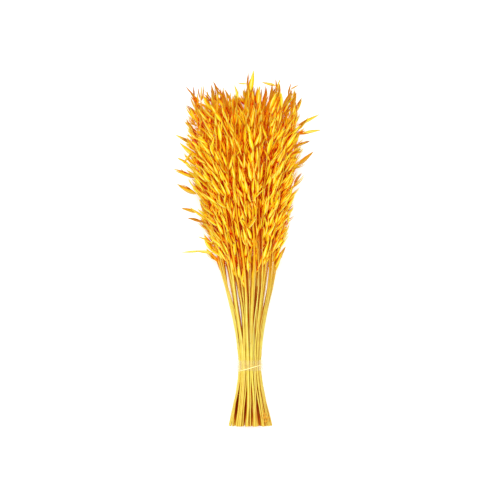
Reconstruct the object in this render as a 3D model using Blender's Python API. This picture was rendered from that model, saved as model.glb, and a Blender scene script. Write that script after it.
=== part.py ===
"""A cut bunch of dried oats, tied once with clear film, as it lies on a flat surface.

Every oat stalk is a straw that narrows into a panicle of spikelets. The stalks are packed in rings at
the tie, splay a little towards their cut ends and fan out into one bushy head. The bunch lies along +Y
with its head at the far end, so its lower side is pressed flatter than its upper side.

Lengths are in millimetres in the bunch's own terms: across (X), along from the cut ends (Y) and up (Z).
"""

import math

import bpy
import mathutils
import numpy as np

SEED = 41
METRES = 0.001

# The bunch
TIE_AT = 112.0  # the middle of the tie, along from the cut ends
TIE_LENGTH = 20.0
TALLEST = 650.0  # the tallest tip, along from the cut ends
RING_STEP = 4.0  # from one ring of stalks to the next, at the tie
PAIRS_IN_RING = (3, 7, 10, 14, 18)  # rings round the single middle stalk, inside out
PAIR_CHORD = 2.7  # the two stalks of a pair press into each other at the tie
BOUND = TIE_LENGTH / 2 + 2  # the stalks run straight this far either side of the tie's middle
FREE_AFTER = 60.0  # a pair has parted this far beyond that
LOOSE_TURN = 0.3  # how unevenly the stalks spread round a ring in the head, as a share of their spacing
LOOSE_RING = (-0.35, 0.1)  # and between the rings

# How the bunch widens, as (along, times its radius at the tie), and where its middle runs
WIDTH = ((0, 1.88), (100, 1.0), (124, 1.0), (290, 2.42), (400, 3.5), (500, 4.15), (650, 4.4))
HEIGHT_ABOVE = ((0, 1.3), (100, 1.0), (124, 1.0), (290, 1.95), (500, 3.1), (650, 3.4))
HEIGHT_BELOW = ((0, 1.25), (30, 1.25), (100, 1.0), (124, 1.0), (290, 1.86), (500, 2.52), (650, 2.75))
SETTLED = 0.5  # how flat the head's lower side has settled, from 0 for round to 0.5
MIDDLE_UP = ((0, 25.9), (30, 25.9), (112, 34.6), (290, 47.5), (500, 61.0), (650, 70.0))
MIDDLE_ACROSS = ((0, 0.6), (112, 0.0), (290, -3.0), (400, -11.0), (500, -12.0), (650, -3.0))

# A stalk
STRAW_SIDES = 4
STRAW_RADIUS = 1.75  # to a corner, from the cut end to the tie
RACHIS_RADIUS = 1.25  # where the panicle starts
NECK_RADIUS = 0.9  # under the last spikelet
NECK_LENGTH = 36.0
HEAD_FROM = (285.0, 385.0)  # where panicles start
SKYLINE = 628.0  # where the highest stalks end, but for the tallest
TIP_SPREAD = 85.0  # how far below it the others end
LATE_TIPS = 1.3  # over 1, more of them end near the skyline
RESTING_LENGTH = 30.0  # the lowest straws lie flat on the surface this far

# A spikelet
SPIKELET_SIDES = 3
SPIKELET_RADIUS = (2.5, 3.3)
TIP_LENGTH = (15.0, 19.0)  # from its widest place to its tip
LONGEST_TIP = 0.62  # as a share of the whole spikelet
BASE_LENGTH = (9.0, 24.0)  # from the rachis to its widest place, with its stalklet
LEAN = (14.0, 40.0)  # degrees from the rachis
SPIKELETS_PER_STALK = 5
PLACE_IN_STEP = (0.2, 0.8)  # where in its own step of the panicle a spikelet may root
GOLDEN_ANGLE = math.pi * (3 - math.sqrt(5))
SWING = 0.3  # how far from that angle it may turn, in radians
MORE_SWING = 0.05  # and how much further at each new try to find it room
ROOT_RADIUS = 0.55
CLEARANCE = 0.4
NO_STRAW = -1
TRIES = 60

# Single spikelets that stand clear of the head, as (tip across, tip along, how far back they start)
FRINGE = (
    (-138, 535, 22), (-129, 519, 34), (-135, 492, 30), (-141.5, 471, 20), (-134, 444, 28),
    (-112, 403, 26), (-107, 381, 12), (-98, 349, 18), (-104, 323, 6), (-82, 327, 34),
    (-119, 565, 46), (-120, 590, 40), (-111, 606, 52), (-119, 624, 34),
    (96, 605, 44), (128, 571, 26), (109, 569, 46), (131, 543, 8), (112, 523, 14),
    (98, 508, 24), (117, 504, 44), (101, 463, 42), (93, 439, 36), (83, 386, 30),
    (71, 357, 36), (66, 331, 34),
)
FRINGE_ROOTS = 0.72  # how far out their stalks are, as a share of their tips
FRINGE_UP = (-4.0, 34.0)  # how far above the bunch's middle they grow
FRINGE_RISE = (-6.0, 10.0)
BELOW_HEAD = 25.0  # single spikelets may grow this far under a panicle's start

# Spikelets under the head that it rests on, as (tip across, tip along)
RESTING = (
    (-62, 402), (-40, 352), (-66, 492), (-44, 546), (-26, 436), (-8, 380),
    (12, 474), (24, 352), (38, 418), (44, 506), (22, 560), (-14, 520),
)
RESTING_BACK = 32.0

# The tie
BAND_SIDES = 24
BAND_THICK = 0.8
BAND_GAP = 0.35
STRAND_RADIUS = 0.9
STRAND_SIDES = 5
STRAND_AT = 107.5
STRAND_TILT = 7.0  # how far the strand climbs from its middle to its top, along the bunch

OAT_COLOURS = ((0.80, 0.42, 0.04), (0.90, 0.60, 0.12))
FILM_COLOUR = (0.90, 0.84, 0.68)
STRAND_COLOUR = (0.93, 0.84, 0.45)


def smooth_through(stations, along):
    """The value at `along` on a smooth curve through the (along, value) stations."""
    at, value = np.array(stations, float).T
    slope = np.gradient(value, at)
    i = np.clip(np.searchsorted(at, along) - 1, 0, len(at) - 2)
    span = at[i + 1] - at[i]
    t = np.clip((along - at[i]) / span, 0, 1)
    ease = t * t * (3 - 2 * t)
    return (
        value[i] * (1 - ease)
        + value[i + 1] * ease
        + span * (slope[i] * t * (1 - t) ** 2 - slope[i + 1] * t * t * (1 - t))
    )


class Stalk:
    """One oat stalk: its place in the rings at the tie, its looser place in the head, and its height."""

    def __init__(self, ring, tie_angle, even_angle, loose_turn, loose_ring, head_from, tip_at):
        self.ring, self.tie_angle, self.even_angle = ring, tie_angle, even_angle
        self.loose_turn, self.loose_ring = loose_turn, loose_ring
        self.head_from, self.tip_at = head_from, tip_at
        self.neck = tip_at - NECK_LENGTH
        self.stops = self.straw_stops()
        self.points = np.array([self.middle(along) for along, _ in self.stops])

    def middle(self, along):
        """The point on the stalk's smooth centre line at `along`."""
        free = np.clip((abs(along - TIE_AT) - BOUND) / FREE_AFTER, 0, 1)
        free = free * free * (3 - 2 * free)
        width = smooth_through(WIDTH, along)
        loose = (width - 1) / (WIDTH[-1][1] - 1)
        angle = self.tie_angle + (self.even_angle - self.tie_angle) * free + self.loose_turn * loose
        radius = RING_STEP * (self.ring + self.loose_ring * loose)
        upwards = radius * math.sin(angle)
        if upwards < 0:
            upwards *= 1 + SETTLED * loose * math.cos(angle) ** 2
        height = HEIGHT_ABOVE if upwards > 0 else HEIGHT_BELOW
        return np.array((
            smooth_through(MIDDLE_ACROSS, along) + radius * math.cos(angle) * width,
            along,
            smooth_through(MIDDLE_UP, along) + upwards * smooth_through(height, along),
        ))

    def straw_stops(self):
        """(along, radius) of each ring of the straw. The last ring is its end spikelet's widest place."""
        rest = [(RESTING_LENGTH, STRAW_RADIUS)] if self.middle(0)[2] < STRAW_RADIUS else []
        return [
            (0.0, STRAW_RADIUS),
            *rest,
            (TIE_AT - BOUND, STRAW_RADIUS),
            (TIE_AT + BOUND, STRAW_RADIUS),
            (self.head_from, RACHIS_RADIUS),
            ((self.head_from + self.neck) / 2, (RACHIS_RADIUS + NECK_RADIUS) / 2),
            (self.neck, NECK_RADIUS),
            (self.tip_at - TIP_LENGTH[0], SPIKELET_RADIUS[0]),
        ]

    def on_straw(self, along):
        """The point on the straw's own centre line, which runs straight from ring to ring."""
        stations = [stop for stop, _ in self.stops]
        return np.array([np.interp(along, stations, self.points[:, axis]) for axis in range(3)])


def lay_out_stalks(rng):
    """The stalks of each node: the single middle one, then the pairs, ring by ring."""
    groups = [[Stalk(0, 0.0, 0.0, 0.0, 0.0, HEAD_FROM[1], TALLEST)]]
    for ring, pairs in enumerate(PAIRS_IN_RING, 1):
        turn = rng.uniform(0, 2 * math.pi)
        slot = 2 * math.pi / pairs
        half = math.asin(PAIR_CHORD / 2 / (ring * RING_STEP))
        for pair in range(pairs):
            stalks = []
            for side in (-1, 1):
                stalks.append(Stalk(
                    ring,
                    turn + pair * slot + side * half,
                    turn + pair * slot + side * slot / 4,
                    rng.uniform(-LOOSE_TURN, LOOSE_TURN) * slot / 2,
                    rng.uniform(*LOOSE_RING),
                    rng.uniform(*HEAD_FROM),
                    SKYLINE - TIP_SPREAD * rng.uniform(0, 1) ** LATE_TIPS,
                ))
            groups.append(stalks)
    return groups


class Spikelet:
    """A closed three-sided spindle: its root sunk in the rachis, its widest place and its tip."""

    def __init__(self, stalk, root, tip, tip_length, radius, turn):
        self.stalk, self.root, self.tip = stalk, root, tip
        self.radius, self.turn = radius, turn
        self.length = float(np.linalg.norm(tip - root))
        self.way = (tip - root) / self.length
        self.widest = tip - self.way * min(tip_length, LONGEST_TIP * self.length)


class Clearances:
    """Every straw and spikelet laid so far, as tapering rods, to keep a new spikelet clear of them."""

    def __init__(self):
        self.rods = np.zeros((0, 9))

    def add(self, start, end, start_radius, end_radius, owner):
        row = np.concatenate((start, end, (start_radius, end_radius, owner)))
        self.rods = np.vstack((self.rods, row))

    def room(self, start, end, start_radius, end_radius, owner):
        """The smallest gap between this rod and the others, leaving out those of owner."""
        others = self.rods[self.rods[:, 8] != owner]
        first, second = others[:, 0:3], others[:, 3:6] - others[:, 0:3]
        own, between = end - start, start - first
        a, e = own @ own, np.einsum("ij,ij->i", second, second)
        b, c = second @ own, between @ own
        f = np.einsum("ij,ij->i", second, between)
        spread = np.maximum(a * e - b * b, 1e-9)
        s = np.clip((b * f - c * e) / spread, 0, 1)
        t = np.clip((b * s + f) / e, 0, 1)
        s = np.clip((b * t - c) / a, 0, 1)
        apart = np.linalg.norm(between + s[:, None] * own - t[:, None] * second, axis=1)
        own_radius = start_radius + s * (end_radius - start_radius)
        other_radius = others[:, 6] + t * (others[:, 7] - others[:, 6])
        return float((apart - own_radius - other_radius).min())


def note_stalk(clear, number, stalk):
    """Notes a straw and its end spikelet."""
    ends = zip(stalk.stops, stalk.stops[1:], stalk.points, stalk.points[1:])
    for (_, start_radius), (_, end_radius), start, end in ends:
        clear.add(start, end, start_radius, end_radius, number)
    clear.add(stalk.points[-1], stalk.middle(stalk.tip_at), SPIKELET_RADIUS[0], 0.1, number)


def legs(spikelet):
    """The spikelet as two tapering rods."""
    return (
        (spikelet.root, spikelet.widest, ROOT_RADIUS, spikelet.radius),
        (spikelet.widest, spikelet.tip, spikelet.radius, 0.1),
    )


def fits(clear, number, spikelet):
    """True if the spikelet lies on or above the surface and clear of everything but its own straw."""
    if min(spikelet.tip[2], spikelet.widest[2] - spikelet.radius / 2) < 0:
        return False
    return min(clear.room(*leg, number) for leg in legs(spikelet)) > CLEARANCE


def note_spikelet(clear, spikelet):
    """Notes a spikelet. It keeps clear of its own stalk's other spikelets too."""
    for leg in legs(spikelet):
        clear.add(*leg, NO_STRAW)


def rachis_frame(stalk, along):
    """The rachis's direction at `along`, and two directions square to it."""
    way = stalk.on_straw(along + 1) - stalk.on_straw(along - 1)
    way /= np.linalg.norm(way)
    side = np.cross(way, (0.0, 0.0, 1.0))
    side /= np.linalg.norm(side)
    return way, side, np.cross(side, way)


def grow_single(rng, stalks, clear, tip, root_wish):
    """One spikelet that ends at `tip`, on the stalk that passes nearest to `root_wish` and has room."""
    root_at = root_wish[1]
    bearers = [s for s in stalks if s.head_from - BELOW_HEAD < root_at < s.neck]
    for stalk in sorted(bearers, key=lambda s: np.linalg.norm(s.on_straw(root_at) - root_wish)):
        spikelet = Spikelet(
            stalk,
            stalk.on_straw(root_at),
            np.array(tip),
            rng.uniform(*TIP_LENGTH),
            SPIKELET_RADIUS[0],
            rng.uniform(0, 1),
        )
        if fits(clear, stalks.index(stalk), spikelet):
            note_spikelet(clear, spikelet)
            return [spikelet]
    return []


def grow_fringe(rng, stalks, clear):
    """The single spikelets that stand clear of the head, and those that it rests on."""
    grown = []
    for across, along, back in FRINGE:
        height = smooth_through(MIDDLE_UP, along - back) + rng.uniform(*FRINGE_UP)
        tip = (across, along, height + rng.uniform(*FRINGE_RISE))
        grown += grow_single(rng, stalks, clear, tip, (FRINGE_ROOTS * across, along - back, height))
    for across, along in RESTING:
        wish = (across, along - RESTING_BACK, 0.0)
        grown += grow_single(rng, stalks, clear, (across, along, 0.0), wish)
    return grown


def grow_spikelets(rng, stalks, clear):
    """Spikelets round each rachis, turning by the golden angle, where there is room for them."""
    grown = []
    for number, stalk in enumerate(stalks):
        turn = rng.uniform(0, 2 * math.pi)
        step = (stalk.neck - stalk.head_from) / SPIKELETS_PER_STALK
        for k in range(SPIKELETS_PER_STALK):
            turn += GOLDEN_ANGLE
            for attempt in range(TRIES):
                along = stalk.head_from + (k + rng.uniform(*PLACE_IN_STEP)) * step
                way, side, up = rachis_frame(stalk, along)
                swing = turn + rng.uniform(-1, 1) * (SWING + attempt * MORE_SWING)
                lean = math.radians(rng.uniform(*LEAN))
                out = math.cos(swing) * side + math.sin(swing) * up
                aim = math.cos(lean) * way + math.sin(lean) * out
                tip_length = rng.uniform(*TIP_LENGTH)
                reach = tip_length + rng.uniform(*BASE_LENGTH)
                root = stalk.on_straw(along)
                tip = root + aim * reach
                tip[2] = max(tip[2], 0.0)
                spikelet = Spikelet(
                    stalk, root, tip, tip_length, rng.uniform(*SPIKELET_RADIUS), rng.uniform(0, 1)
                )
                if fits(clear, number, spikelet):
                    note_spikelet(clear, spikelet)
                    grown.append(spikelet)
                    break
    return grown


def mesh_object(name, points, faces):
    """A closed mesh from points in millimetres. What would lie under the surface is pressed flat on it."""
    pressed = [(x, y, max(z, 0.0)) for x, y, z in points]
    mesh = bpy.data.meshes.new(name)
    mesh.from_pydata([tuple(METRES * c for c in p) for p in pressed], [], faces)
    mesh.validate()
    obj = bpy.data.objects.new(name, mesh)
    bpy.context.scene.collection.objects.link(obj)
    return obj


def straw_object(name, stalk):
    """The straw, square in section, with its last spikelet as its pointed end."""
    points, faces = [], []
    quarter = 0.5 * math.pi
    for (along, radius), middle in zip(stalk.stops, stalk.points):
        turned = stalk.tie_angle if abs(along - TIE_AT) <= BOUND else quarter / 2
        turned -= quarter * round((turned - quarter / 2) / quarter)
        for k in range(STRAW_SIDES):
            angle = turned + k * quarter
            points.append(middle + radius * np.array((math.cos(angle), 0, math.sin(angle))))
    rings = len(points) // STRAW_SIDES
    for ring in range(rings - 1):
        low = ring * STRAW_SIDES
        for k in range(STRAW_SIDES):
            a, b = low + k, low + (k + 1) % STRAW_SIDES
            faces.append((a, b, b + STRAW_SIDES, a + STRAW_SIDES))
    points.append(stalk.middle(stalk.tip_at))
    top = (rings - 1) * STRAW_SIDES
    for k in range(STRAW_SIDES):
        faces.append((top + k, top + (k + 1) % STRAW_SIDES, len(points) - 1))
    faces.append(tuple(reversed(range(STRAW_SIDES))))
    return mesh_object(name, points, faces)


def spikelet_object(name, spikelet):
    """A spindle with its root round the rachis's centre line."""
    side = np.cross(spikelet.way, (0.0, 0.0, 1.0))
    side /= np.linalg.norm(side)
    up = np.cross(side, spikelet.way)
    points = []
    for middle, radius in ((spikelet.root, ROOT_RADIUS), (spikelet.widest, spikelet.radius)):
        for k in range(SPIKELET_SIDES):
            angle = 2 * math.pi * (k + spikelet.turn) / SPIKELET_SIDES
            points.append(middle + radius * (math.cos(angle) * side + math.sin(angle) * up))
    tip = len(points)
    points.append(spikelet.tip)
    faces = [tuple(range(SPIKELET_SIDES))]
    for k in range(SPIKELET_SIDES):
        following = (k + 1) % SPIKELET_SIDES
        low, high = k + SPIKELET_SIDES, following + SPIKELET_SIDES
        faces.append((k, following, high, low))
        faces.append((low, high, tip))
    return mesh_object(name, points, faces)


def face_out(obj):
    """Turns a closed mesh's faces outwards."""
    bpy.context.view_layer.objects.active = obj
    obj.select_set(True)
    bpy.ops.object.mode_set(mode="EDIT")
    bpy.ops.mesh.select_all(action="SELECT")
    bpy.ops.mesh.normals_make_consistent(inside=False)
    bpy.ops.object.mode_set(mode="OBJECT")
    obj.select_set(False)


def join_to(base, others):
    """Joins the others to base with one Boolean union, and removes them."""
    group = bpy.data.collections.new(base.name + "_repeats")
    bpy.context.scene.collection.children.link(group)
    for other in others:
        group.objects.link(other)
    union = base.modifiers.new("join", "BOOLEAN")
    union.operation = "UNION"
    union.operand_type = "COLLECTION"
    union.collection = group
    union.solver = "EXACT"
    bpy.context.view_layer.objects.active = base
    bpy.ops.object.modifier_apply(modifier=union.name)
    for other in others:
        bpy.data.objects.remove(other)
    bpy.data.collections.remove(group)


def material(name, colour, roughness, alpha=1.0):
    """A plain non-metal."""
    made = bpy.data.materials.new(name)
    made.use_nodes = True
    shader = made.node_tree.nodes["Principled BSDF"]
    shader.inputs["Base Color"].default_value = (*colour, 1.0)
    shader.inputs["Roughness"].default_value = roughness
    shader.inputs["Metallic"].default_value = 0.0
    shader.inputs["Alpha"].default_value = alpha
    return made


def ring_object(name, sections):
    """A closed ring from one closed section of points for each step round it."""
    points = [p for section in sections for p in section]
    steps, corners = len(sections), len(sections[0])
    faces = []
    for i in range(steps):
        for k in range(corners):
            a, b = i * corners + k, i * corners + (k + 1) % corners
            c = (i + 1) % steps * corners
            faces.append((a, b, c + (k + 1) % corners, c + k))
    obj = mesh_object(name, points, faces)
    face_out(obj)
    return obj


def around_tie(angle, radius, along):
    """A point round the bunch's middle at the tie."""
    return np.array((
        radius * math.cos(angle),
        along,
        smooth_through(MIDDLE_UP, along) + radius * math.sin(angle),
    ))


def band_radius():
    """The band's inner radius, to a corner, so that its flats clear the outer straws."""
    outermost = RING_STEP * len(PAIRS_IN_RING) + STRAW_RADIUS
    return (outermost + BAND_GAP) / math.cos(math.pi / BAND_SIDES)


def make_band():
    """The clear film wound round the straws."""
    inner, outer = band_radius(), band_radius() + BAND_THICK
    low, high = TIE_AT - TIE_LENGTH / 2, TIE_AT + TIE_LENGTH / 2
    sections = []
    for k in range(BAND_SIDES):
        angle = 2 * math.pi * k / BAND_SIDES
        corners = ((inner, low), (outer, low), (outer, high), (inner, high))
        sections.append([around_tie(angle, r, s) for r, s in corners])
    return ring_object("tie_band", sections)


def make_strand():
    """The film's twisted end, which climbs round the band."""
    radius = band_radius() + BAND_THICK + BAND_GAP + STRAND_RADIUS
    sections = []
    for k in range(BAND_SIDES):
        angle = 2 * math.pi * k / BAND_SIDES
        section = []
        for corner in range(STRAND_SIDES):
            turn = 2 * math.pi * corner / STRAND_SIDES
            climb = STRAND_TILT * math.cos(angle) + STRAND_RADIUS * math.sin(turn)
            section.append(
                around_tie(angle, radius + STRAND_RADIUS * math.cos(turn), STRAND_AT + climb)
            )
        sections.append(section)
    return ring_object("tie_strand", sections)


def centre_on_origin():
    """Moves every mesh so that the bunch's box stands centred over the origin, on the surface."""
    meshes = [obj.data for obj in bpy.data.objects]
    corners = np.array([vertex.co for mesh in meshes for vertex in mesh.vertices])
    low, high = corners.min(axis=0), corners.max(axis=0)
    shift = mathutils.Vector((-(low[0] + high[0]) / 2, -(low[1] + high[1]) / 2, -low[2]))
    for mesh in meshes:
        mesh.transform(mathutils.Matrix.Translation(shift))
        mesh.update()
    print("moved by", [round(1000 * c, 2) for c in shift], "mm")


def main():
    for obj in list(bpy.data.objects):
        bpy.data.objects.remove(obj)
    rng = np.random.default_rng(SEED)
    groups = lay_out_stalks(rng)
    stalks = [stalk for group in groups for stalk in group]
    clear = Clearances()
    for number, stalk in enumerate(stalks):
        note_stalk(clear, number, stalk)
    spikelets = grow_fringe(rng, stalks, clear) + grow_spikelets(rng, stalks, clear)
    for number, group in enumerate(groups, 1):
        name = f"oat_stalks_{number:02d}"
        base, *others = [straw_object(name if k == 0 else f"{name}_straw", stalk)
                         for k, stalk in enumerate(group)]
        others += [
            spikelet_object(f"{name}_spikelet", spikelet)
            for spikelet in spikelets
            if spikelet.stalk in group
        ]
        for piece in (base, *others):
            face_out(piece)
        join_to(base, others)
        base.data.materials.append(material(name, rng.uniform(*OAT_COLOURS), 0.6))
    make_band().data.materials.append(material("clear film", FILM_COLOUR, 0.25, 0.45))
    make_strand().data.materials.append(material("twisted film", STRAND_COLOUR, 0.35))
    centre_on_origin()
    print(len(stalks), "stalks,", len(spikelets), "side spikelets")


main()
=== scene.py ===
# %% [markdown]
# # A bunch of dried oats
#
# A hundred or so oat stalks are cut to one length, bound once near their cut ends with clear film, and
# dried. The straws pack into rings under the film, splay below it and fan out above it into one bushy,
# golden head of hanging husks. The bunch has no foot, so here it lies on its side, and the camera looks
# straight down on it.
#
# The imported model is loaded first. It holds every stalk with a few plain spikelets, and it fixes where
# everything is. This script gives each of its pieces a finer one in the same place.

import math

import bmesh
import bpy
import numpy as np
from mathutils.bvhtree import BVHTree
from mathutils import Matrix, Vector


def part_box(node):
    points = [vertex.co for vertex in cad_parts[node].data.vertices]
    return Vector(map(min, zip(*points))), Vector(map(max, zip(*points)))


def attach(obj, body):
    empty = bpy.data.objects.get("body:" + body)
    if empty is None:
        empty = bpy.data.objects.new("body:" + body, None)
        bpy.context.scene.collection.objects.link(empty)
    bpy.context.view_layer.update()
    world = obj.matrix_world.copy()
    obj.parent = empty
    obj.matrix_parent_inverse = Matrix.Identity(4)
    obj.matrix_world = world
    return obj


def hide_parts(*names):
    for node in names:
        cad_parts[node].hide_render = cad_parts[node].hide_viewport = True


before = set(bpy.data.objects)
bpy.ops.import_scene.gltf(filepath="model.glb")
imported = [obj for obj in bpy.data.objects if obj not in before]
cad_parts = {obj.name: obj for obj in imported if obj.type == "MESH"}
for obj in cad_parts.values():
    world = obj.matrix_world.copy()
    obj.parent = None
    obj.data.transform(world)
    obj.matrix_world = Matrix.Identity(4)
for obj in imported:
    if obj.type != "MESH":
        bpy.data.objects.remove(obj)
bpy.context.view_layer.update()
MM = 0.001

# %% [markdown]
# ## Where the bunch lies
#
# Lengths in this lesson are in millimetres in the bunch's own terms: across, along from the cut ends,
# and up. The model's box is centred over the origin, so the two differ by one shift. The clear band is
# round and sits at a known place along the straws, so its box gives that shift. The other way would be
# to repeat the number by hand, and it would go wrong as soon as a stalk changed.

# %% Find the shift
TIE_AT = 112.0
TIE_LENGTH = 20.0
band_low, band_high = (np.array(corner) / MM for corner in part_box("tie_band"))
shift = np.array((
    (band_low[0] + band_high[0]) / 2,
    (band_low[1] + band_high[1]) / 2 - TIE_AT,
    0.0,
))
print("shift:", shift.round(2), "mm")

# %% [markdown]
# ## How the stalks are laid
#
# At the tie the stalks stand in rings round a single one, in touching pairs. Away from it each ring keeps
# its order and widens, so no two stalks cross. The head's upper side stands rounder than the lower side,
# which has settled on the table. A smooth curve through a few stations gives how wide and how high the
# bunch is anywhere along it, which is easier to steer than a hundred curves drawn one by one.

# %% The bunch's proportions
SEED = 41
TALLEST = 650.0
RING_STEP = 4.0
PAIRS_IN_RING = (3, 7, 10, 14, 18)
OUTER_RING = RING_STEP * len(PAIRS_IN_RING)
PAIR_CHORD = 2.7
BOUND = TIE_LENGTH / 2 + 2
FREE_AFTER = 60.0
LOOSE_TURN = 0.3
LOOSE_RING = (-0.35, 0.1)
WIDTH = ((0, 1.88), (100, 1.0), (124, 1.0), (290, 2.42), (400, 3.5), (500, 4.15), (650, 4.4))
HEIGHT_ABOVE = ((0, 1.3), (100, 1.0), (124, 1.0), (290, 1.95), (500, 3.1), (650, 3.4))
HEIGHT_BELOW = ((0, 1.25), (30, 1.25), (100, 1.0), (124, 1.0), (290, 1.86), (500, 2.52), (650, 2.75))
SETTLED = 0.5
MIDDLE_UP = ((0, 25.9), (30, 25.9), (112, 34.6), (290, 47.5), (500, 61.0), (650, 70.0))
MIDDLE_ACROSS = ((0, 0.6), (112, 0.0), (290, -3.0), (400, -11.0), (500, -12.0), (650, -3.0))


def eased(share):
    """From 0 to 1, with a gentle start and end."""
    share = np.clip(share, 0, 1)
    return share * share * (3 - 2 * share)


def smooth_through(stations, along):
    """The value at `along` on a smooth curve through the (along, value) stations."""
    at, value = np.array(stations, float).T
    slope = np.gradient(value, at)
    i = np.clip(np.searchsorted(at, along) - 1, 0, len(at) - 2)
    span = at[i + 1] - at[i]
    t = np.clip((along - at[i]) / span, 0, 1)
    ease = eased(t)
    return (
        value[i] * (1 - ease)
        + value[i + 1] * ease
        + span * (slope[i] * t * (1 - t) ** 2 - slope[i + 1] * t * t * (1 - t))
    )


def middle_at(along):
    """The point on the bunch's middle line."""
    return np.array((smooth_through(MIDDLE_ACROSS, along), along, smooth_through(MIDDLE_UP, along)))


def half_width(along):
    """From the middle line to the outermost straws, sideways."""
    return OUTER_RING * smooth_through(WIDTH, along)


def half_height(along):
    """From the middle line to the uppermost straws."""
    return OUTER_RING * smooth_through(HEIGHT_ABOVE, along)


def freedom(along):
    """0 where the film binds the straws, and 1 well away from it."""
    return eased((np.abs(along - TIE_AT) - BOUND) / FREE_AFTER)


print("head half as wide as", round(half_width(500), 1), "mm at 500 mm")

# %% One stalk
STRAW_RADIUS = 1.75
RACHIS_RADIUS = 1.25
NECK_RADIUS = 0.9
NECK_LENGTH = 36.0
HEAD_FROM = (285.0, 385.0)
SKYLINE = 628.0
TIP_SPREAD = 85.0
LATE_TIPS = 1.3
RESTING_LENGTH = 30.0
SPIKELET_RADIUS = (2.5, 3.3)
TIP_LENGTH = (15.0, 19.0)


class Stalk:
    """One oat stalk: its place in the rings at the tie, its looser place in the head, and its height."""

    def __init__(self, ring, tie_angle, even_angle, loose_turn, loose_ring, head_from, tip_at):
        self.ring, self.tie_angle, self.even_angle = ring, tie_angle, even_angle
        self.loose_turn, self.loose_ring = loose_turn, loose_ring
        self.head_from, self.tip_at = head_from, tip_at
        self.neck = tip_at - NECK_LENGTH
        self.stops = self.straw_stops()
        self.points = np.array([self.middle(along) for along, _ in self.stops])

    def middle(self, along):
        """The point on the stalk's smooth centre line at `along`."""
        width = smooth_through(WIDTH, along)
        loose = (width - 1) / (WIDTH[-1][1] - 1)
        to_even = (self.even_angle - self.tie_angle) * freedom(along)
        angle = self.tie_angle + to_even + self.loose_turn * loose
        radius = RING_STEP * (self.ring + self.loose_ring * loose)
        upwards = radius * math.sin(angle)
        if upwards < 0:
            upwards *= 1 + SETTLED * loose * math.cos(angle) ** 2
        height = smooth_through(HEIGHT_ABOVE if upwards > 0 else HEIGHT_BELOW, along)
        return middle_at(along) + (radius * math.cos(angle) * width, 0, upwards * height)

    def straw_stops(self):
        """(along, radius) of the plain straw's rings. The last is its end spikelet's widest place."""
        rest = [(RESTING_LENGTH, STRAW_RADIUS)] if self.middle(0)[2] < STRAW_RADIUS else []
        return [
            (0.0, STRAW_RADIUS),
            *rest,
            (TIE_AT - BOUND, STRAW_RADIUS),
            (TIE_AT + BOUND, STRAW_RADIUS),
            (self.head_from, RACHIS_RADIUS),
            ((self.head_from + self.neck) / 2, (RACHIS_RADIUS + NECK_RADIUS) / 2),
            (self.neck, NECK_RADIUS),
            (self.tip_at - TIP_LENGTH[0], SPIKELET_RADIUS[0]),
        ]

    def on_straw(self, along):
        """The point on the plain straw's own centre line, which runs straight from ring to ring."""
        stations = [stop for stop, _ in self.stops]
        return np.array([np.interp(along, stations, self.points[:, axis]) for axis in range(3)])


# %% All the stalks
def lay_out_stalks(rng):
    """The stalks of each node: the single middle one, then the pairs, ring by ring."""
    groups = [[Stalk(0, 0.0, 0.0, 0.0, 0.0, HEAD_FROM[1], TALLEST)]]
    for ring, pairs in enumerate(PAIRS_IN_RING, 1):
        turn = rng.uniform(0, 2 * math.pi)
        slot = 2 * math.pi / pairs
        half = math.asin(PAIR_CHORD / 2 / (ring * RING_STEP))
        for pair in range(pairs):
            groups.append([
                Stalk(
                    ring,
                    turn + pair * slot + side * half,
                    turn + pair * slot + side * slot / 4,
                    rng.uniform(-LOOSE_TURN, LOOSE_TURN) * slot / 2,
                    rng.uniform(*LOOSE_RING),
                    rng.uniform(*HEAD_FROM),
                    SKYLINE - TIP_SPREAD * rng.uniform(0, 1) ** LATE_TIPS,
                )
                for side in (-1, 1)
            ])
    return groups


layout_rng = np.random.default_rng(SEED)
groups = lay_out_stalks(layout_rng)
stalks = [stalk for group in groups for stalk in group]
print(len(stalks), "stalks in", len(groups), "nodes")

# %% [markdown]
# ## The spikelets that the model already has
#
# The plain model has a few spikelets on every stalk, placed where there was room. They are found again
# here by the same rule from the same seed, so that a fine spikelet grows on every plain one. Their tips
# could be read from the model's mesh instead, but not which stalk each one hangs from.

# %% Keep spikelets clear of each other
LONGEST_TIP = 0.62
ROOT_RADIUS = 0.55
TIP_RADIUS = 0.1
CLEARANCE = 0.4
NO_STRAW = -1


class Spikelet:
    """Its root on the rachis, its widest place and its tip."""

    def __init__(self, stalk, root, tip, tip_length, radius):
        self.stalk, self.root, self.tip, self.radius = stalk, root, tip, radius
        self.length = float(np.linalg.norm(tip - root))
        self.way = (tip - root) / self.length
        self.widest = tip - self.way * min(tip_length, LONGEST_TIP * self.length)

    def legs(self):
        """The spikelet as two tapering rods."""
        return (
            (self.root, self.widest, ROOT_RADIUS, self.radius),
            (self.widest, self.tip, self.radius, TIP_RADIUS),
        )


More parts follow.
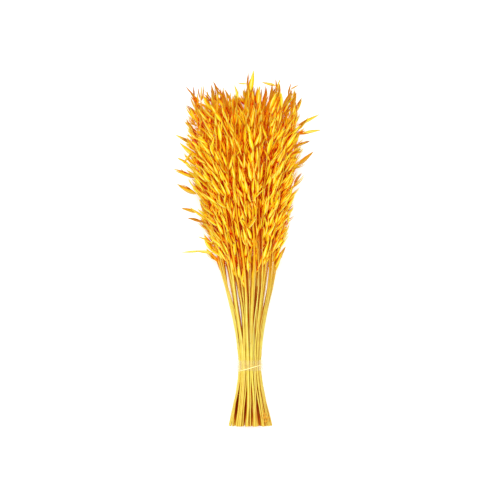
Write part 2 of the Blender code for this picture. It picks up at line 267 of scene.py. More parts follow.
class Clearances:
    """Every straw and spikelet laid so far, as tapering rods, to keep a new spikelet clear of them."""

    def __init__(self):
        self.rods = np.zeros((0, 9))

    def add(self, start, end, start_radius, end_radius, owner):
        row = np.concatenate((start, end, (start_radius, end_radius, owner)))
        self.rods = np.vstack((self.rods, row))

    def room(self, start, end, start_radius, end_radius, owner):
        """The smallest gap between this rod and the others, leaving out those of owner."""
        others = self.rods[self.rods[:, 8] != owner]
        first, second = others[:, 0:3], others[:, 3:6] - others[:, 0:3]
        own, between = end - start, start - first
        a, e = own @ own, np.einsum("ij,ij->i", second, second)
        b, c = second @ own, between @ own
        f = np.einsum("ij,ij->i", second, between)
        spread = np.maximum(a * e - b * b, 1e-9)
        s = np.clip((b * f - c * e) / spread, 0, 1)
        t = np.clip((b * s + f) / e, 0, 1)
        s = np.clip((b * t - c) / a, 0, 1)
        apart = np.linalg.norm(between + s[:, None] * own - t[:, None] * second, axis=1)
        own_radius = start_radius + s * (end_radius - start_radius)
        other_radius = others[:, 6] + t * (others[:, 7] - others[:, 6])
        return float((apart - own_radius - other_radius).min())

    def fits(self, number, spikelet):
        """True if it lies on or above the surface and clear of everything but its own straw."""
        if min(spikelet.tip[2], spikelet.widest[2] - spikelet.radius / 2) < 0:
            return False
        return min(self.room(*leg, number) for leg in spikelet.legs()) > CLEARANCE

    def note(self, spikelet):
        """Notes a spikelet. Later ones keep clear of it, on its own stalk too."""
        for leg in spikelet.legs():
            self.add(*leg, NO_STRAW)


clear = Clearances()
for number, stalk in enumerate(stalks):
    ends = zip(stalk.stops, stalk.stops[1:], stalk.points, stalk.points[1:])
    for (_, start_radius), (_, end_radius), start, end in ends:
        clear.add(start, end, start_radius, end_radius, number)
    clear.add(stalk.points[-1], stalk.middle(stalk.tip_at), SPIKELET_RADIUS[0], TIP_RADIUS, number)
print(len(clear.rods), "rods of straw")

# %% Single spikelets that stand out, and those that the head rests on
BELOW_HEAD = 25.0
FRINGE = (
    (-138, 535, 22), (-129, 519, 34), (-135, 492, 30), (-141.5, 471, 20), (-134, 444, 28),
    (-112, 403, 26), (-107, 381, 12), (-98, 349, 18), (-104, 323, 6), (-82, 327, 34),
    (-119, 565, 46), (-120, 590, 40), (-111, 606, 52), (-119, 624, 34),
    (96, 605, 44), (128, 571, 26), (109, 569, 46), (131, 543, 8), (112, 523, 14),
    (98, 508, 24), (117, 504, 44), (101, 463, 42), (93, 439, 36), (83, 386, 30),
    (71, 357, 36), (66, 331, 34),
)
FRINGE_ROOTS = 0.72
FRINGE_UP = (-4.0, 34.0)
FRINGE_RISE = (-6.0, 10.0)
RESTING = (
    (-62, 402), (-40, 352), (-66, 492), (-44, 546), (-26, 436), (-8, 380),
    (12, 474), (24, 352), (38, 418), (44, 506), (22, 560), (-14, 520),
)
RESTING_BACK = 32.0


def grow_single(rng, tip, root_wish):
    """One spikelet that ends at `tip`, on the stalk that passes nearest to `root_wish` and has room."""
    root_at = root_wish[1]
    bearers = [s for s in stalks if s.head_from - BELOW_HEAD < root_at < s.neck]
    for stalk in sorted(bearers, key=lambda s: np.linalg.norm(s.on_straw(root_at) - root_wish)):
        tip_length = rng.uniform(*TIP_LENGTH)
        root = stalk.on_straw(root_at)
        spikelet = Spikelet(stalk, root, np.array(tip), tip_length, SPIKELET_RADIUS[0])
        rng.uniform()  # a turn in the plain model, which this script has no use for
        if clear.fits(stalks.index(stalk), spikelet):
            clear.note(spikelet)
            return [spikelet]
    return []


def grow_fringe(rng):
    """The single spikelets that stand clear of the head, and those that it rests on."""
    grown = []
    for across, along, back in FRINGE:
        height = smooth_through(MIDDLE_UP, along - back) + rng.uniform(*FRINGE_UP)
        tip = (across, along, height + rng.uniform(*FRINGE_RISE))
        grown += grow_single(rng, tip, (FRINGE_ROOTS * across, along - back, height))
    for across, along in RESTING:
        grown += grow_single(rng, (across, along, 0.0), (across, along - RESTING_BACK, 0.0))
    return grown


# %% The spikelets round each rachis
BASE_LENGTH = (9.0, 24.0)
LEAN = (14.0, 40.0)
SPIKELETS_PER_STALK = 5
PLACE_IN_STEP = (0.2, 0.8)
GOLDEN_ANGLE = math.pi * (3 - math.sqrt(5))
SWING = 0.3
MORE_SWING = 0.05
TRIES = 60


def directions_at(line, along, step):
    """A line's direction at `along`, and two directions square to it: to the side, and up."""
    way = line(along + step) - line(along - step)
    way /= np.linalg.norm(way)
    side = np.cross(way, (0.0, 0.0, 1.0))
    side /= np.linalg.norm(side)
    return way, side, np.cross(side, way)


def throw_spikelet(rng, stalk, along, turn):
    """A spikelet that leans out from the rachis at `along`, towards `turn`."""
    way, side, up = directions_at(stalk.on_straw, along, 1)
    swing = turn[0] + rng.uniform(-1, 1) * turn[1]
    lean = math.radians(rng.uniform(*LEAN))
    out = math.cos(swing) * side + math.sin(swing) * up
    aim = math.cos(lean) * way + math.sin(lean) * out
    tip_length = rng.uniform(*TIP_LENGTH)
    reach = tip_length + rng.uniform(*BASE_LENGTH)
    root = stalk.on_straw(along)
    tip = root + aim * reach
    tip[2] = max(tip[2], 0.0)
    spikelet = Spikelet(stalk, root, tip, tip_length, rng.uniform(*SPIKELET_RADIUS))
    rng.uniform()  # the plain model's turn again
    return spikelet


def grow_spikelets(rng):
    """Spikelets round each rachis, turning by the golden angle, where there is room for them."""
    grown = []
    for number, stalk in enumerate(stalks):
        turn = rng.uniform(0, 2 * math.pi)
        step = (stalk.neck - stalk.head_from) / SPIKELETS_PER_STALK
        for k in range(SPIKELETS_PER_STALK):
            turn += GOLDEN_ANGLE
            for attempt in range(TRIES):
                along = stalk.head_from + (k + rng.uniform(*PLACE_IN_STEP)) * step
                spikelet = throw_spikelet(rng, stalk, along, (turn, SWING + attempt * MORE_SWING))
                if clear.fits(number, spikelet):
                    clear.note(spikelet)
                    grown.append(spikelet)
                    break
    return grown


plain = grow_fringe(layout_rng) + grow_spikelets(layout_rng)
print(len(plain), "plain side spikelets found again")

# %% Check them against the model
def points_of(mesh):
    """A mesh's vertices as rows of three numbers."""
    points = np.empty(len(mesh.vertices) * 3, np.float32)
    mesh.vertices.foreach_get("co", points)
    return points.reshape(-1, 3).astype(float)


def node_of(number):
    return f"oat_stalks_{number + 1:02d}"


worst = 0.0
for number, group in enumerate(groups):
    points = points_of(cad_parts[node_of(number)].data) / MM - shift
    tips = [s.middle(s.tip_at) for s in group] + [s.tip for s in plain if s.stalk in group]
    for tip in tips:
        worst = max(worst, np.linalg.norm(points - tip, axis=1).min())
print("furthest tip from the model's own:", round(worst, 3), "mm")

# %% [markdown]
# ## The rest of the spikelets
#
# An oat panicle has thin branches all along it, long ones low down and short ones near the top, and every
# branch ends in a spikelet. In this bunch they sweep outwards like a fan, further on the left, and a
# few lean any way. So the lean of a spikelet is read off its place across the head, and a little chance
# is added. A branch is thrown again if its spikelet would end outside the bunch's outline or under the
# table.
#
# The outline is soft: most tips stay within a slack of it, and a few reach past. At its top the head is
# ragged, so a skyline of peaks and dips stops the tips there, and the husks near it are drawn sideways
# into tufts. Towards the top the husks are also coloured darker.

# %% Branches and their spikelets
MORE_IN_RING = (11, 11, 13, 17, 22, 30)
THROWS = 12
OVER_STALK_TIP = 6.0
BRANCH_LENGTH = (6.0, 34.0)
LOW_BRANCH, SHORTER_UP = 1.2, 0.8
LEAN_ACROSS = ((-120, -46), (-70, -35), (-25, -13), (25, 5), (75, 18), (120, 34))
LEAN_UP = 26.0
LEAN_CHANCE = 10.0
TUFT_LEAN = 13.0
LOW_MORE = 1.15
SPIKELET_LENGTH = (24.0, 37.0)
FRONT_LOWER = 52.0
SPARSE_TOP, SPARSE_SHARE = 32.0, 0.55
DARKER_FROM, DARKER_OVER, TOP_DARKEST = 550.0, 80.0, 0.85
LOWEST_TIP, HIGHEST_TIP, WIDEST = 0.6, 143.0, 134.0
SKYLINE_DIPS = (
    (-130, 594), (-118, 604), (-105, 628), (-99, 602), (-94, 620), (-82, 602), (-67, 630), (-57, 604),
    (-47, 621), (-38, 596), (-28, 622), (-16, 598), (-5, 632), (6, 650), (13, 592), (18, 622),
    (24, 596), (31, 611), (38, 588), (48, 634), (56, 633), (66, 598), (75, 625), (86, 620), (95, 600),
    (110, 594), (130, 588),
)
TUFTS = (-106, -90, -67, -47, -28, 2, 20, 33, 52, 81, 104)
TUFT_FROM, TUFT_OVER, TUFT_PULL = 560.0, 50.0, 0.7
OUTLINE_SLACK = ((300, 3), (400, 6), (480, 17), (520, 17), (585, 7))
OUTLINE_TAIL = 4.5


class Branch:
    """A thin branch from the rachis to a spikelet: its root, the spikelet's base and its tip."""

    def __init__(self, stalk, root, base, tip, stem_way, kind_draw, ripe=0.0):
        self.stalk, self.root, self.base, self.tip = stalk, root, base, tip
        self.stem_way, self.kind_draw, self.ripe = stem_way, kind_draw, ripe


def straight_through(stations, at):
    """As smooth_through, with straight lines from station to station."""
    return np.interp(at, *zip(*stations))


def inside_outline(tip, rng):
    """True if the tip lies within the bunch's own soft outline and above the table."""
    across, along, up = tip
    slack = straight_through(OUTLINE_SLACK, along) + rng.exponential(OUTLINE_TAIL)
    aside, _, rise = tip - middle_at(along)
    sideways = aside / (half_width(along) + slack)
    upwards = max(rise, 0) / (half_height(along) + slack / 2)
    in_height = along < straight_through(SKYLINE_DIPS, across) and LOWEST_TIP < up < HIGHEST_TIP
    return in_height and abs(across) < WIDEST and sideways**2 + upwards**2 < 1


def leaning(way, side, up, yaw, pitch):
    """The direction that leans from way by yaw degrees to the side and by pitch degrees up."""
    yaw, pitch = math.radians(yaw), math.radians(pitch)
    flat = math.cos(yaw) * way + math.sin(yaw) * side
    return math.cos(pitch) * flat + math.sin(pitch) * up


def height_in_bunch(point):
    """1 at the bunch's top, 0 at its middle and -1 at its underside."""
    return np.clip((point - middle_at(point[1]))[2] / half_height(point[1]), -1, 1)


def into_tuft(point):
    """The point, drawn sideways to the middle of its tuft where it is near the top."""
    pull = TUFT_PULL * np.clip((point[1] - TUFT_FROM) / TUFT_OVER, 0, 1)
    middle = min(TUFTS, key=lambda across: abs(across - point[0]))
    return point + (pull * (middle - point[0]), 0, 0)


def darker_towards_top(tip):
    """How much darker than the rest the husks are coloured towards the head's top."""
    return TOP_DARKEST * np.clip((tip[1] - DARKER_FROM) / DARKER_OVER, 0, 1)


def branch_on(rng, stalk, share, tuft):
    """A branch that starts `share` of the way up the panicle, which droops by tuft's two angles."""
    front = max(height_in_bunch(stalk.middle(stalk.head_from)), 0.0)
    lowest = stalk.head_from - BELOW_HEAD / 2 - FRONT_LOWER * front
    along = lowest + share * (stalk.neck - lowest)
    root = stalk.middle(along)
    here = directions_at(stalk.middle, along, 2)
    yaw = straight_through(LEAN_ACROSS, root[0]) + tuft[0] + rng.normal(0, LEAN_CHANCE)
    pitch = LEAN_UP * height_in_bunch(root) + tuft[1] + rng.normal(0, LEAN_CHANCE)
    stem = leaning(*here, yaw + rng.normal(0, LEAN_CHANCE), pitch + rng.normal(0, LEAN_CHANCE))
    base = root + stem * rng.uniform(*BRANCH_LENGTH) * (LOW_BRANCH - SHORTER_UP * share)
    tip = base + leaning(*here, yaw, pitch) * rng.uniform(*SPIKELET_LENGTH)
    base, tip = into_tuft(base), into_tuft(tip)
    return Branch(stalk, root, base, tip, here[0], rng.uniform(), darker_towards_top(tip))


rng = np.random.default_rng(SEED + 1)
branches = []
for stalk in stalks:
    count = MORE_IN_RING[stalk.ring]
    tuft = rng.normal(0, TUFT_LEAN, 2)
    for k in range(count):
        for _ in range(THROWS):
            branch = branch_on(rng, stalk, ((k + rng.uniform()) / count) ** LOW_MORE, tuft)
            sparse = branch.tip[1] > straight_through(SKYLINE_DIPS, branch.tip[0]) - SPARSE_TOP
            if sparse and rng.uniform() < SPARSE_SHARE:
                continue
            if inside_outline(branch.tip, rng) and branch.tip[1] < stalk.tip_at + OVER_STALK_TIP:
                branches.append(branch)
                break
print(len(branches), "spikelets on branches")

# %% The crown
TOP_MORE, TOP_BASES, TOP_SCATTER = 300, (545.0, 600.0), 7.0
TOP_ROOT_BACK = 15.0

crown = [stalk for stalk in stalks if stalk.tip_at > TOP_BASES[0]]
for _ in range(TOP_MORE):
    stalk = crown[rng.integers(len(crown))]
    base_at = rng.uniform(*TOP_BASES)
    here = directions_at(stalk.middle, base_at, 2)
    root = stalk.middle(min(base_at - TOP_ROOT_BACK, stalk.neck))
    base = stalk.middle(base_at) + rng.normal(0, TOP_SCATTER, 3)
    yaw = straight_through(LEAN_ACROSS, base[0]) + rng.normal(0, LEAN_CHANCE)
    tip = base + leaning(*here, yaw, rng.normal(0, LEAN_CHANCE)) * rng.uniform(*SPIKELET_LENGTH)
    base, tip = into_tuft(base), into_tuft(tip)
    if inside_outline(tip, rng) and base[2] > LOWEST_TIP:
        branches.append(Branch(stalk, root, base, tip, here[0], rng.uniform(), darker_towards_top(tip)))
print(len(branches), "with the crown")

# %% [markdown]
# ## Strays
#
# Single spikelets stand out of the head on both sides. On the real plant a branch forks, so each long
# one gets a companion that starts part of the way along it. A few more are listed one by one, at the top
# edge and low on the front, because that is where single husks show most. Strays are older and drier
# than the rest, so they are a little darker.

# %% Companions
STRAY_RIPE = 0.5
SOLID_KINDS = 0.6
SPRAY_FROM = 36.0
SPRAY_TILT = math.tan(math.radians(30.0))
SPRAY_FORK, SPRAY_STEM = (0.05, 0.7), (2.0, 8.0)
SPRAY_OVER_TOP = 4.0
UP = np.array((0.0, 0.0, 1.0))


def is_stray(spikelet):
    """True if a plain spikelet's tip lies outside the outermost straws."""
    tip = spikelet.tip
    return abs(tip[0] - smooth_through(MIDDLE_ACROSS, tip[1])) > half_width(tip[1])


for spikelet in plain:
    if is_stray(spikelet) and spikelet.length > SPRAY_FROM:
        side = directions_at(spikelet.stalk.middle, spikelet.root[1], 2)[1]
        fork = spikelet.root + (spikelet.tip - spikelet.root) * rng.uniform(*SPRAY_FORK)
        base = fork + spikelet.way * rng.uniform(*SPRAY_STEM)
        way = spikelet.way + SPRAY_TILT * (rng.normal() * side + rng.normal() * UP)
        tip = base + way / np.linalg.norm(way) * rng.uniform(*SPIKELET_LENGTH)
        below_top = tip[1] < straight_through(SKYLINE_DIPS, tip[0]) + SPRAY_OVER_TOP
        if tip[2] > LOWEST_TIP and abs(tip[0]) < WIDEST and below_top:
            draw = rng.uniform(0, SOLID_KINDS)
            branches.append(Branch(spikelet.stalk, fork, base, tip, spikelet.way, draw, STRAY_RIPE))
print(len(branches), "with the companions")

# %% Listed one by one
TOP_RIPE = 0.75
ROOT_BACK, TIP_BACK = 25.0, 40.0
NEAR_SURFACE, TIP_RISE = (0.85, 1.0), 4.0
TOP_SPIKELETS = (
    (-5.5, 624, -23.8, 626), (45.8, 622, 20.7, 628), (49.4, 610, 46.5, 635), (50, 612, 56, 635),
    (69, 606, 75, 628), (75, 617, 89, 625), (1, 612, 6.2, 650), (-4, 600, 0, 634),
    (-102, 600, -105.5, 628), (-91, 600, -95, 622), (-57, 604, -68, 631), (-60, 596, -60, 618),
    (-22, 598, -29, 623), (14, 588, 18, 622), (26, 586, 31, 612), (-97.6, 571, -119, 590),
    (-104, 541, -117.5, 565), (-101, 583, -110, 603), (82, 582, 95, 603),
)
LOW_SPIKELETS = (
    (-51, 280, -65, 314), (-69, 309, -81, 327), (-44, 262, -50, 291), (47, 285, 58, 318),
    (44, 300, 55, 330), (-16, 262, -13, 294), (-9, 255, -20, 288), (4, 268, 7, 300),
    (-24, 272, -30, 303), (12, 283, 22, 310), (-12, 276, -10, 308), (-30, 288, -38, 318),
    (-20, 292, -24, 324), (-3, 284, -5, 316), (18, 296, 28, 326), (-38, 296, -47, 324),
    (30, 300, 42, 328), (-8, 300, -12, 332), (8, 306, 14, 337), (-50, 306, -60, 332),
)

for base_across, base_along, across, along in TOP_SPIKELETS + LOW_SPIKELETS:
    middle = middle_at(base_along)
    aside = min(abs(base_across - middle[0]) / half_width(base_along), 1.0)
    up = middle[2] + half_height(base_along) * math.sqrt(1 - aside**2) * rng.uniform(*NEAR_SURFACE)
    base = np.array((base_across, base_along, up))
    tip = np.array((across, along, min(up + rng.uniform(-TIP_RISE, TIP_RISE), HIGHEST_TIP)))
    root_at = base_along - ROOT_BACK
    near = [s for s in stalks if s.tip_at > base_along - TIP_BACK]
    stalk = min(near, key=lambda s: np.linalg.norm(s.middle(root_at) - base))
    way = directions_at(stalk.middle, root_at, 2)[0]
    ripe = TOP_RIPE if base_along > HEAD_FROM[1] else 0.0
    draw = rng.uniform(0, SOLID_KINDS)
    branches.append(Branch(stalk, stalk.middle(root_at), base, tip, way, draw, ripe))
print(len(branches), "with those placed by hand")

# %% [markdown]
# The plain spikelets become branches too. Each keeps its tip, and its husks take the last 27 mm or so of
# it, with the thin branch below them. A stalk's own end carries the last spikelet.

# %% Fine spikelets on the plain ones
END_LENGTH = 32.0
HUSK_SHARE = 0.92
PLAIN_LENGTH, STRAY_LENGTH = (26.0, 38.0), (32.0, 44.0)

for spikelet in plain:
    stalk, root_at, stray = spikelet.stalk, spikelet.root[1], is_stray(spikelet)
    length = min(rng.uniform(*(STRAY_LENGTH if stray else PLAIN_LENGTH)), HUSK_SHARE * spikelet.length)
    base = spikelet.tip - spikelet.way * length
    way = directions_at(stalk.middle, root_at, 2)[0]
    draw, ripe = rng.uniform(0, SOLID_KINDS if stray else 1.0), STRAY_RIPE if stray else 0.0
    branches.append(Branch(stalk, stalk.middle(root_at), base, spikelet.tip, way, draw, ripe))
for stalk in stalks:
    tip, base = stalk.middle(stalk.tip_at), stalk.middle(stalk.tip_at - END_LENGTH)
    branches.append(Branch(stalk, base, base, tip, None, rng.uniform(), darker_towards_top(tip)))
print(len(branches), "spikelets in all")

# %% [markdown]
# ## One husk
#
# Each spikelet is wrapped in two papery husks, the glumes: pointed boats with a keel along the back. One
# is modelled from a four-cornered ring that is drawn out along the husk, one short extrusion at a time,
# and widened or narrowed after each. The ring's inner corner is first pushed out towards the keel, which
# makes the boat hollow. Sculpting it would give more detail than a husk two pixels wide can show.

# %% Helpers for modelling
def pick(obj):
    """Leaves obj alone selected and active."""
    bpy.ops.object.select_all(action="DESELECT")
    obj.select_set(True)
    bpy.context.view_layer.objects.active = obj


def start_on(obj):
    """Opens obj for editing, with all of it selected."""
    pick(obj)
    bpy.ops.object.mode_set(mode="EDIT")
    bpy.ops.mesh.select_mode(type="VERT")
    bpy.ops.mesh.select_all(action="SELECT")


def done():
    bpy.ops.object.mode_set(mode="OBJECT")


def new_ring(name, corners, radius, fill="NGON", **place):
    """A flat ring of corners, open for editing."""
    bpy.ops.object.select_all(action="DESELECT")
    bpy.ops.mesh.primitive_circle_add(vertices=corners, radius=radius, fill_type=fill, **place)
    ring = bpy.context.active_object
    ring.name = name
    bpy.ops.object.transform_apply(location=True, rotation=True)
    start_on(ring)
    return ring


def select_where(obj, keep):
    """In edit mode, selects the vertices whose place passes the test."""
    mesh = bmesh.from_edit_mesh(obj.data)
    for vertex in mesh.verts:
        vertex.select = bool(keep(vertex.co))
    mesh.select_flush_mode()
    bmesh.update_edit_mesh(obj.data)


def draw_out(stations, unit=MM):
    """Draws the selected ring out through (up, size, shift back) stations, as a row of extrusions."""
    for (up, size, back), (next_up, next_size, next_back) in zip(stations, stations[1:]):
        move = (0, (next_back - back) * unit, (next_up - up) * unit)
        bpy.ops.mesh.extrude_region_move(TRANSFORM_OT_translate={"value": move})
        grow, centre = next_size / size, (0, next_back * unit, next_up * unit)
        bpy.ops.transform.resize(value=(grow, grow, 1), center_override=centre)


def face_outwards():
    bpy.ops.mesh.select_all(action="SELECT")
    bpy.ops.mesh.normals_make_consistent(inside=False)


print("helpers ready")

# %% [markdown]
# A finished pattern is taken out of the scene as plain numbers: its points, its triangles, and each
# point's grain. The grain says where on the husk or straw the point is, and which part it belongs to, for
# the fine nerves later.

# %% Read a pattern as numbers
HUSK_PART, FLORET_PART, STRAW_PART, TWIG_PART = 0.0, 1.0, 2.0, 3.0


def across_husk(points):
    """The place across, from 0 at one edge to 1 at the other."""
    levels = points[:, 2].round(2)
    across = np.full(len(points), 0.5)
    for level in np.unique(levels):
        ring = levels == level
        reach = max(np.abs(points[ring, 0]).max(), 1e-6)
        across[ring] = 0.5 + 0.5 * points[ring, 0] / reach
    return across


def round_tube(points):
    """The place round, from 0 on one side to 1 on the other."""
    return np.abs(np.arctan2(points[:, 1], points[:, 0])) / math.pi


def take(pattern, part, across, unit=1.0, length=1.0):
    """The open pattern's points, triangles and grain, in place of the pattern itself."""
    face_outwards()
    bpy.ops.mesh.quads_convert_to_tris()
    done()
    mesh = pattern.data
    points, corners = points_of(mesh) / unit, np.empty(len(mesh.polygons) * 3, np.int32)
    mesh.polygons.foreach_get("vertices", corners)
    print(pattern.name, "has", len(points), "points and", len(mesh.polygons), "triangles")
    bpy.data.objects.remove(pattern)
    grain = np.stack((across(points), points[:, 2] / length, np.full(len(points), part)), axis=1)
    return points, corners.reshape(-1, 3), grain


print("ready to read patterns")

# %% The husk
HUSK_LENGTH = 30.0
HUSK = (
    (0.0, 0.5, 0.0), (2.5, 1.5, 0.15), (8.0, 2.45, 0.4), (14.0, 2.4, 0.5),
    (20.0, 1.72, 0.4), (26.0, 0.9, 0.15), (HUSK_LENGTH, 0.1, 0.0),
)
KEEL_DEPTH = 0.7
HOLLOW = 0.32
ON_AXIS = 0.1 * MM

husk = new_ring("husk", 4, HUSK[0][1] * MM)
bpy.ops.transform.resize(value=(1, KEEL_DEPTH, 1), center_override=(0, 0, 0))
select_where(husk, lambda place: place.y < -ON_AXIS)
bpy.ops.transform.translate(value=(0, (HOLLOW + KEEL_DEPTH) * HUSK[0][1] * MM, 0))
bpy.ops.mesh.select_all(action="SELECT")
draw_out(HUSK)
bpy.ops.mesh.merge(type="CENTER")
husk_shape = take(husk, HUSK_PART, across_husk, MM, HUSK_LENGTH)

# %% The floret inside
FLORET = ((1.0, 0.45, 0.0), (5.5, 1.1, 0.0), (12.0, 1.2, 0.0), (19.0, 0.6, 0.0), (25.0, 0.05, 0.0))

floret = new_ring("floret", 5, FLORET[0][1] * MM, location=(0, 0, FLORET[0][0] * MM))
draw_out(FLORET)
bpy.ops.mesh.merge(type="CENTER")
floret_shape = take(floret, FLORET_PART, across_husk, MM, HUSK_LENGTH)

# %% [markdown]
# ## Four spikelets
#
# Dry husks gape more or less, so four spikelets are put together from the same husk, turned out from the
# base by different angles: one shut, one slim, one parted and one gaping, with the floret showing in the
# last two.

# %% Put the spikelets together
SECOND_OPEN, SECOND_SHORT = 1.2, 0.9


def turned(points, open_by, half_turn, slim=1.0, short=1.0):
    """The husk's points, opened out from its base about X, and turned half round for the other husk."""
    c, s = math.cos(math.radians(open_by)), math.sin(math.radians(open_by))
    x, y, z = (points * (slim, slim, short)).T
    y, z = y * c + z * s, z * c - y * s
    return np.stack((-x, -y, z) if half_turn else (x, y, z), axis=1)


def put_together(open_by, with_floret, slim=1.0):
    """One spikelet from two husks, the second a little shorter, and maybe a floret."""
    points, *rest = husk_shape
    parts = [
        (turned(points, open_by, False, slim), *rest),
        (turned(points, open_by * SECOND_OPEN, True, slim, SECOND_SHORT), *rest),
    ]
    if with_floret:
        parts.append(floret_shape)
    points, corners, grain = zip(*parts)
    starts = np.cumsum([0] + [len(part) for part in points])
    corners = [part + start for part, start in zip(corners, starts)]
    return tuple(np.concatenate(values) for values in (points, corners, grain))


KINDS = {
    "shut": (put_together(1.5, False), 0.46),
    "slim": (put_together(1.0, False, 0.72), 0.64),
    "parted": (put_together(4.0, True), 0.93),
    "gaping": (put_together(9.0, True, 0.92), 1.0),
}
print({name: len(shape[1]) for name, (shape, _) in KINDS.items()}, "triangles")

# %% [markdown]
# ## One straw
#
# A straw is a hollow tube with a swollen knot where each leaf once grew. One is modelled standing up,
# one unit long: a ring of eight corners, drawn up with two knots, and then inset and pushed in at the cut
# end. Every stalk gets a copy that is bent along its own line and thinned towards the head. The thin
# branch is a plainer tube of three sides.

# %% The straw
STRAW_SIDES = 8
KNOTS = (0.25, 0.62)
STRAW_RINGS = (
    0.0, 0.05, 0.1, 0.15, 0.2, 0.238, KNOTS[0], 0.262, 0.3, 0.35, 0.4, 0.45, 0.5, 0.55, 0.6,
    0.61, KNOTS[1], 0.63, 0.66, 0.7, 0.74, 0.78, 0.82, 0.86, 0.9, 0.95, 1.0,
)
KNOT_SWELL = 1.22
STRAW_WALL, STRAW_HOLLOW = 0.32, 0.012
FOOT = 1e-4

straw = new_ring("straw", STRAW_SIDES, 1.0)
draw_out([(at, KNOT_SWELL if at in KNOTS else 1.0, 0.0) for at in STRAW_RINGS], 1.0)
select_where(straw, lambda place: place.z < FOOT)
bpy.ops.mesh.select_mode(type="FACE")
bpy.ops.mesh.inset(thickness=STRAW_WALL)
bpy.ops.mesh.extrude_region_move(TRANSFORM_OT_translate={"value": (0, 0, STRAW_HOLLOW)})
straw_shape = take(straw, STRAW_PART, round_tube)

# %% The thin branch
TWIG_SIDES = 3
TWIG_RINGS = (0.0, 0.25, 0.5, 0.75, 1.0)

twig = new_ring("twig", TWIG_SIDES, 1.0)
draw_out([(at, 1.0, 0.0) for at in TWIG_RINGS], 1.0)
twig_shape = take(twig, TWIG_PART, round_tube)

# %% [markdown]
# ## Copy them into one piece for each node
#
# Thousands of separate objects would be slow to move and to export, so the copies of one pair of stalks
# are gathered into one mesh. Every point also carries two sets of numbers for the materials: where it is
# on its own husk or straw, and how ripe it is and how much light it gets. A material that reads these
# keeps its colours where they belong from every side.

# %% Gather copies
HUSKS, STRAWS = 0, 1


def keep_numbers(mesh, grain, ripe, light):
    """Keeps the numbers that the materials read with the mesh's points."""
    tone = np.stack((ripe, np.zeros(len(ripe)), light), axis=1)
    for name, values in (("grain", grain), ("tone", tone)):
        made = mesh.attributes.new(name, "FLOAT_VECTOR", "POINT")
        made.data.foreach_set("vector", values.astype(np.float32).ravel())


class Gathered:
    """Copies of the patterns, gathered before they become one mesh."""

    def __init__(self):
        self.points, self.corners, self.materials, self.grain, self.ripe = [], [], [], [], []
        self.count = 0

    def add(self, points, corners, material, grain, ripe):
        self.points.append(points)
        self.corners.append(corners + self.count)
        self.materials.append(np.full(len(corners), material))
        self.grain.append(grain)
        self.ripe.append(np.full(len(points), ripe))
        self.count += len(points)

    def whole(self):
        """All points, pressed onto the table where they would dip below it, and all triangles."""
        points = np.concatenate(self.points)
        points[:, 2] = np.maximum(points[:, 2], 0.0)
        return points, np.concatenate(self.corners)

    def piece(self, name, materials, light):
        points, corners = self.whole()
        mesh = bpy.data.meshes.new(name)
        mesh.from_pydata(((points + shift) * MM).tolist(), [], corners.tolist())
        mesh.polygons.foreach_set("material_index", np.concatenate(self.materials).astype(np.int32))
        keep_numbers(mesh, np.concatenate(self.grain), np.concatenate(self.ripe), light)
        for material in materials:
            mesh.materials.append(material)
        piece = bpy.data.objects.new(name, mesh)
        bpy.context.scene.collection.objects.link(piece)
        return piece


print("ready to gather copies")

# %% Where a spikelet goes
FACE_UP = 0.6
FACE_CHANCE, STRAY_CHANCE = 0.65, 0.3
HUSK_WIDE = (0.8, 1.25)
HUSK_ARCH = 1.7
SHORTEST_TWIG, TWIG_BEND = 1.0, 0.55
TWIG_RADIUS, STRAY_TWIG_RADIUS, TWIG_THINS = 0.55, 0.85, 0.2


def upright_to(start, end, turn):
    """Three directions for a copy whose own Z runs from start to end, turned about it."""
    way = (end - start) / np.linalg.norm(end - start)
    side = np.cross(way, (0.0, 0.0, 1.0)) + (1e-6, 0, 0)
    side /= np.linalg.norm(side)
    front = np.cross(way, side)
    c, s = math.cos(turn), math.sin(turn)
    return np.array((c * side + s * front, c * front - s * side, way))


def facing_out(branch, rng):
    """The turn that shows a spikelet's broad side from outside and from above, with some chance."""
    side, front, _ = upright_to(branch.base, branch.tip, 0.0)
    facing = branch.base - middle_at(branch.base[1])
    facing = facing / max(np.linalg.norm(facing), 1.0) + (0, 0, FACE_UP)
    chance = STRAY_CHANCE if branch.ripe in (STRAY_RIPE, TOP_RIPE) else FACE_CHANCE
    return math.atan2(facing @ side, -facing @ front) + rng.normal(0, chance)


def lay_spikelet(gathered, branch, rng):
    """A copy of a spikelet from the branch's end to its tip, a little bent, and as wide as it grew."""
    points, corners, grain = next(shape for shape, up_to in KINDS.values() if branch.kind_draw <= up_to)
    length = float(np.linalg.norm(branch.tip - branch.base))
    directions = upright_to(branch.base, branch.tip, facing_out(branch, rng))
    wide = length / HUSK_LENGTH * rng.uniform(*HUSK_WIDE)
    along = points[:, 2] / HUSK_LENGTH
    arch = rng.normal(0, HUSK_ARCH) * 4 * along * (1 - along)
    local = np.stack((points[:, 0] * wide, points[:, 1] * wide + arch, along * length), axis=1)
    placed = branch.base + local @ directions
    gathered.add(placed, corners, HUSKS, grain, branch.ripe + rng.uniform())


def lay_branch(gathered, branch, rng):
    """A thin curved stem from the rachis to the spikelet's base."""
    points, corners, grain = twig_shape
    reach = np.linalg.norm(branch.base - branch.root)
    if reach < SHORTEST_TWIG:
        return
    bend = branch.root + branch.stem_way * reach * TWIG_BEND
    t = points[:, 2:3]
    centre = branch.root * (1 - t) ** 2 + bend * 2 * t * (1 - t) + branch.base * t**2
    side, front, _ = upright_to(branch.root, branch.base, 0.0)
    thick = (STRAY_TWIG_RADIUS if branch.ripe == STRAY_RIPE else TWIG_RADIUS) - TWIG_THINS * t
    placed = centre + (points[:, 0:1] * side + points[:, 1:2] * front) * thick
    gathered.add(placed, corners, STRAWS, grain, rng.uniform())


print("ready to lay", len(branches), "spikelets")

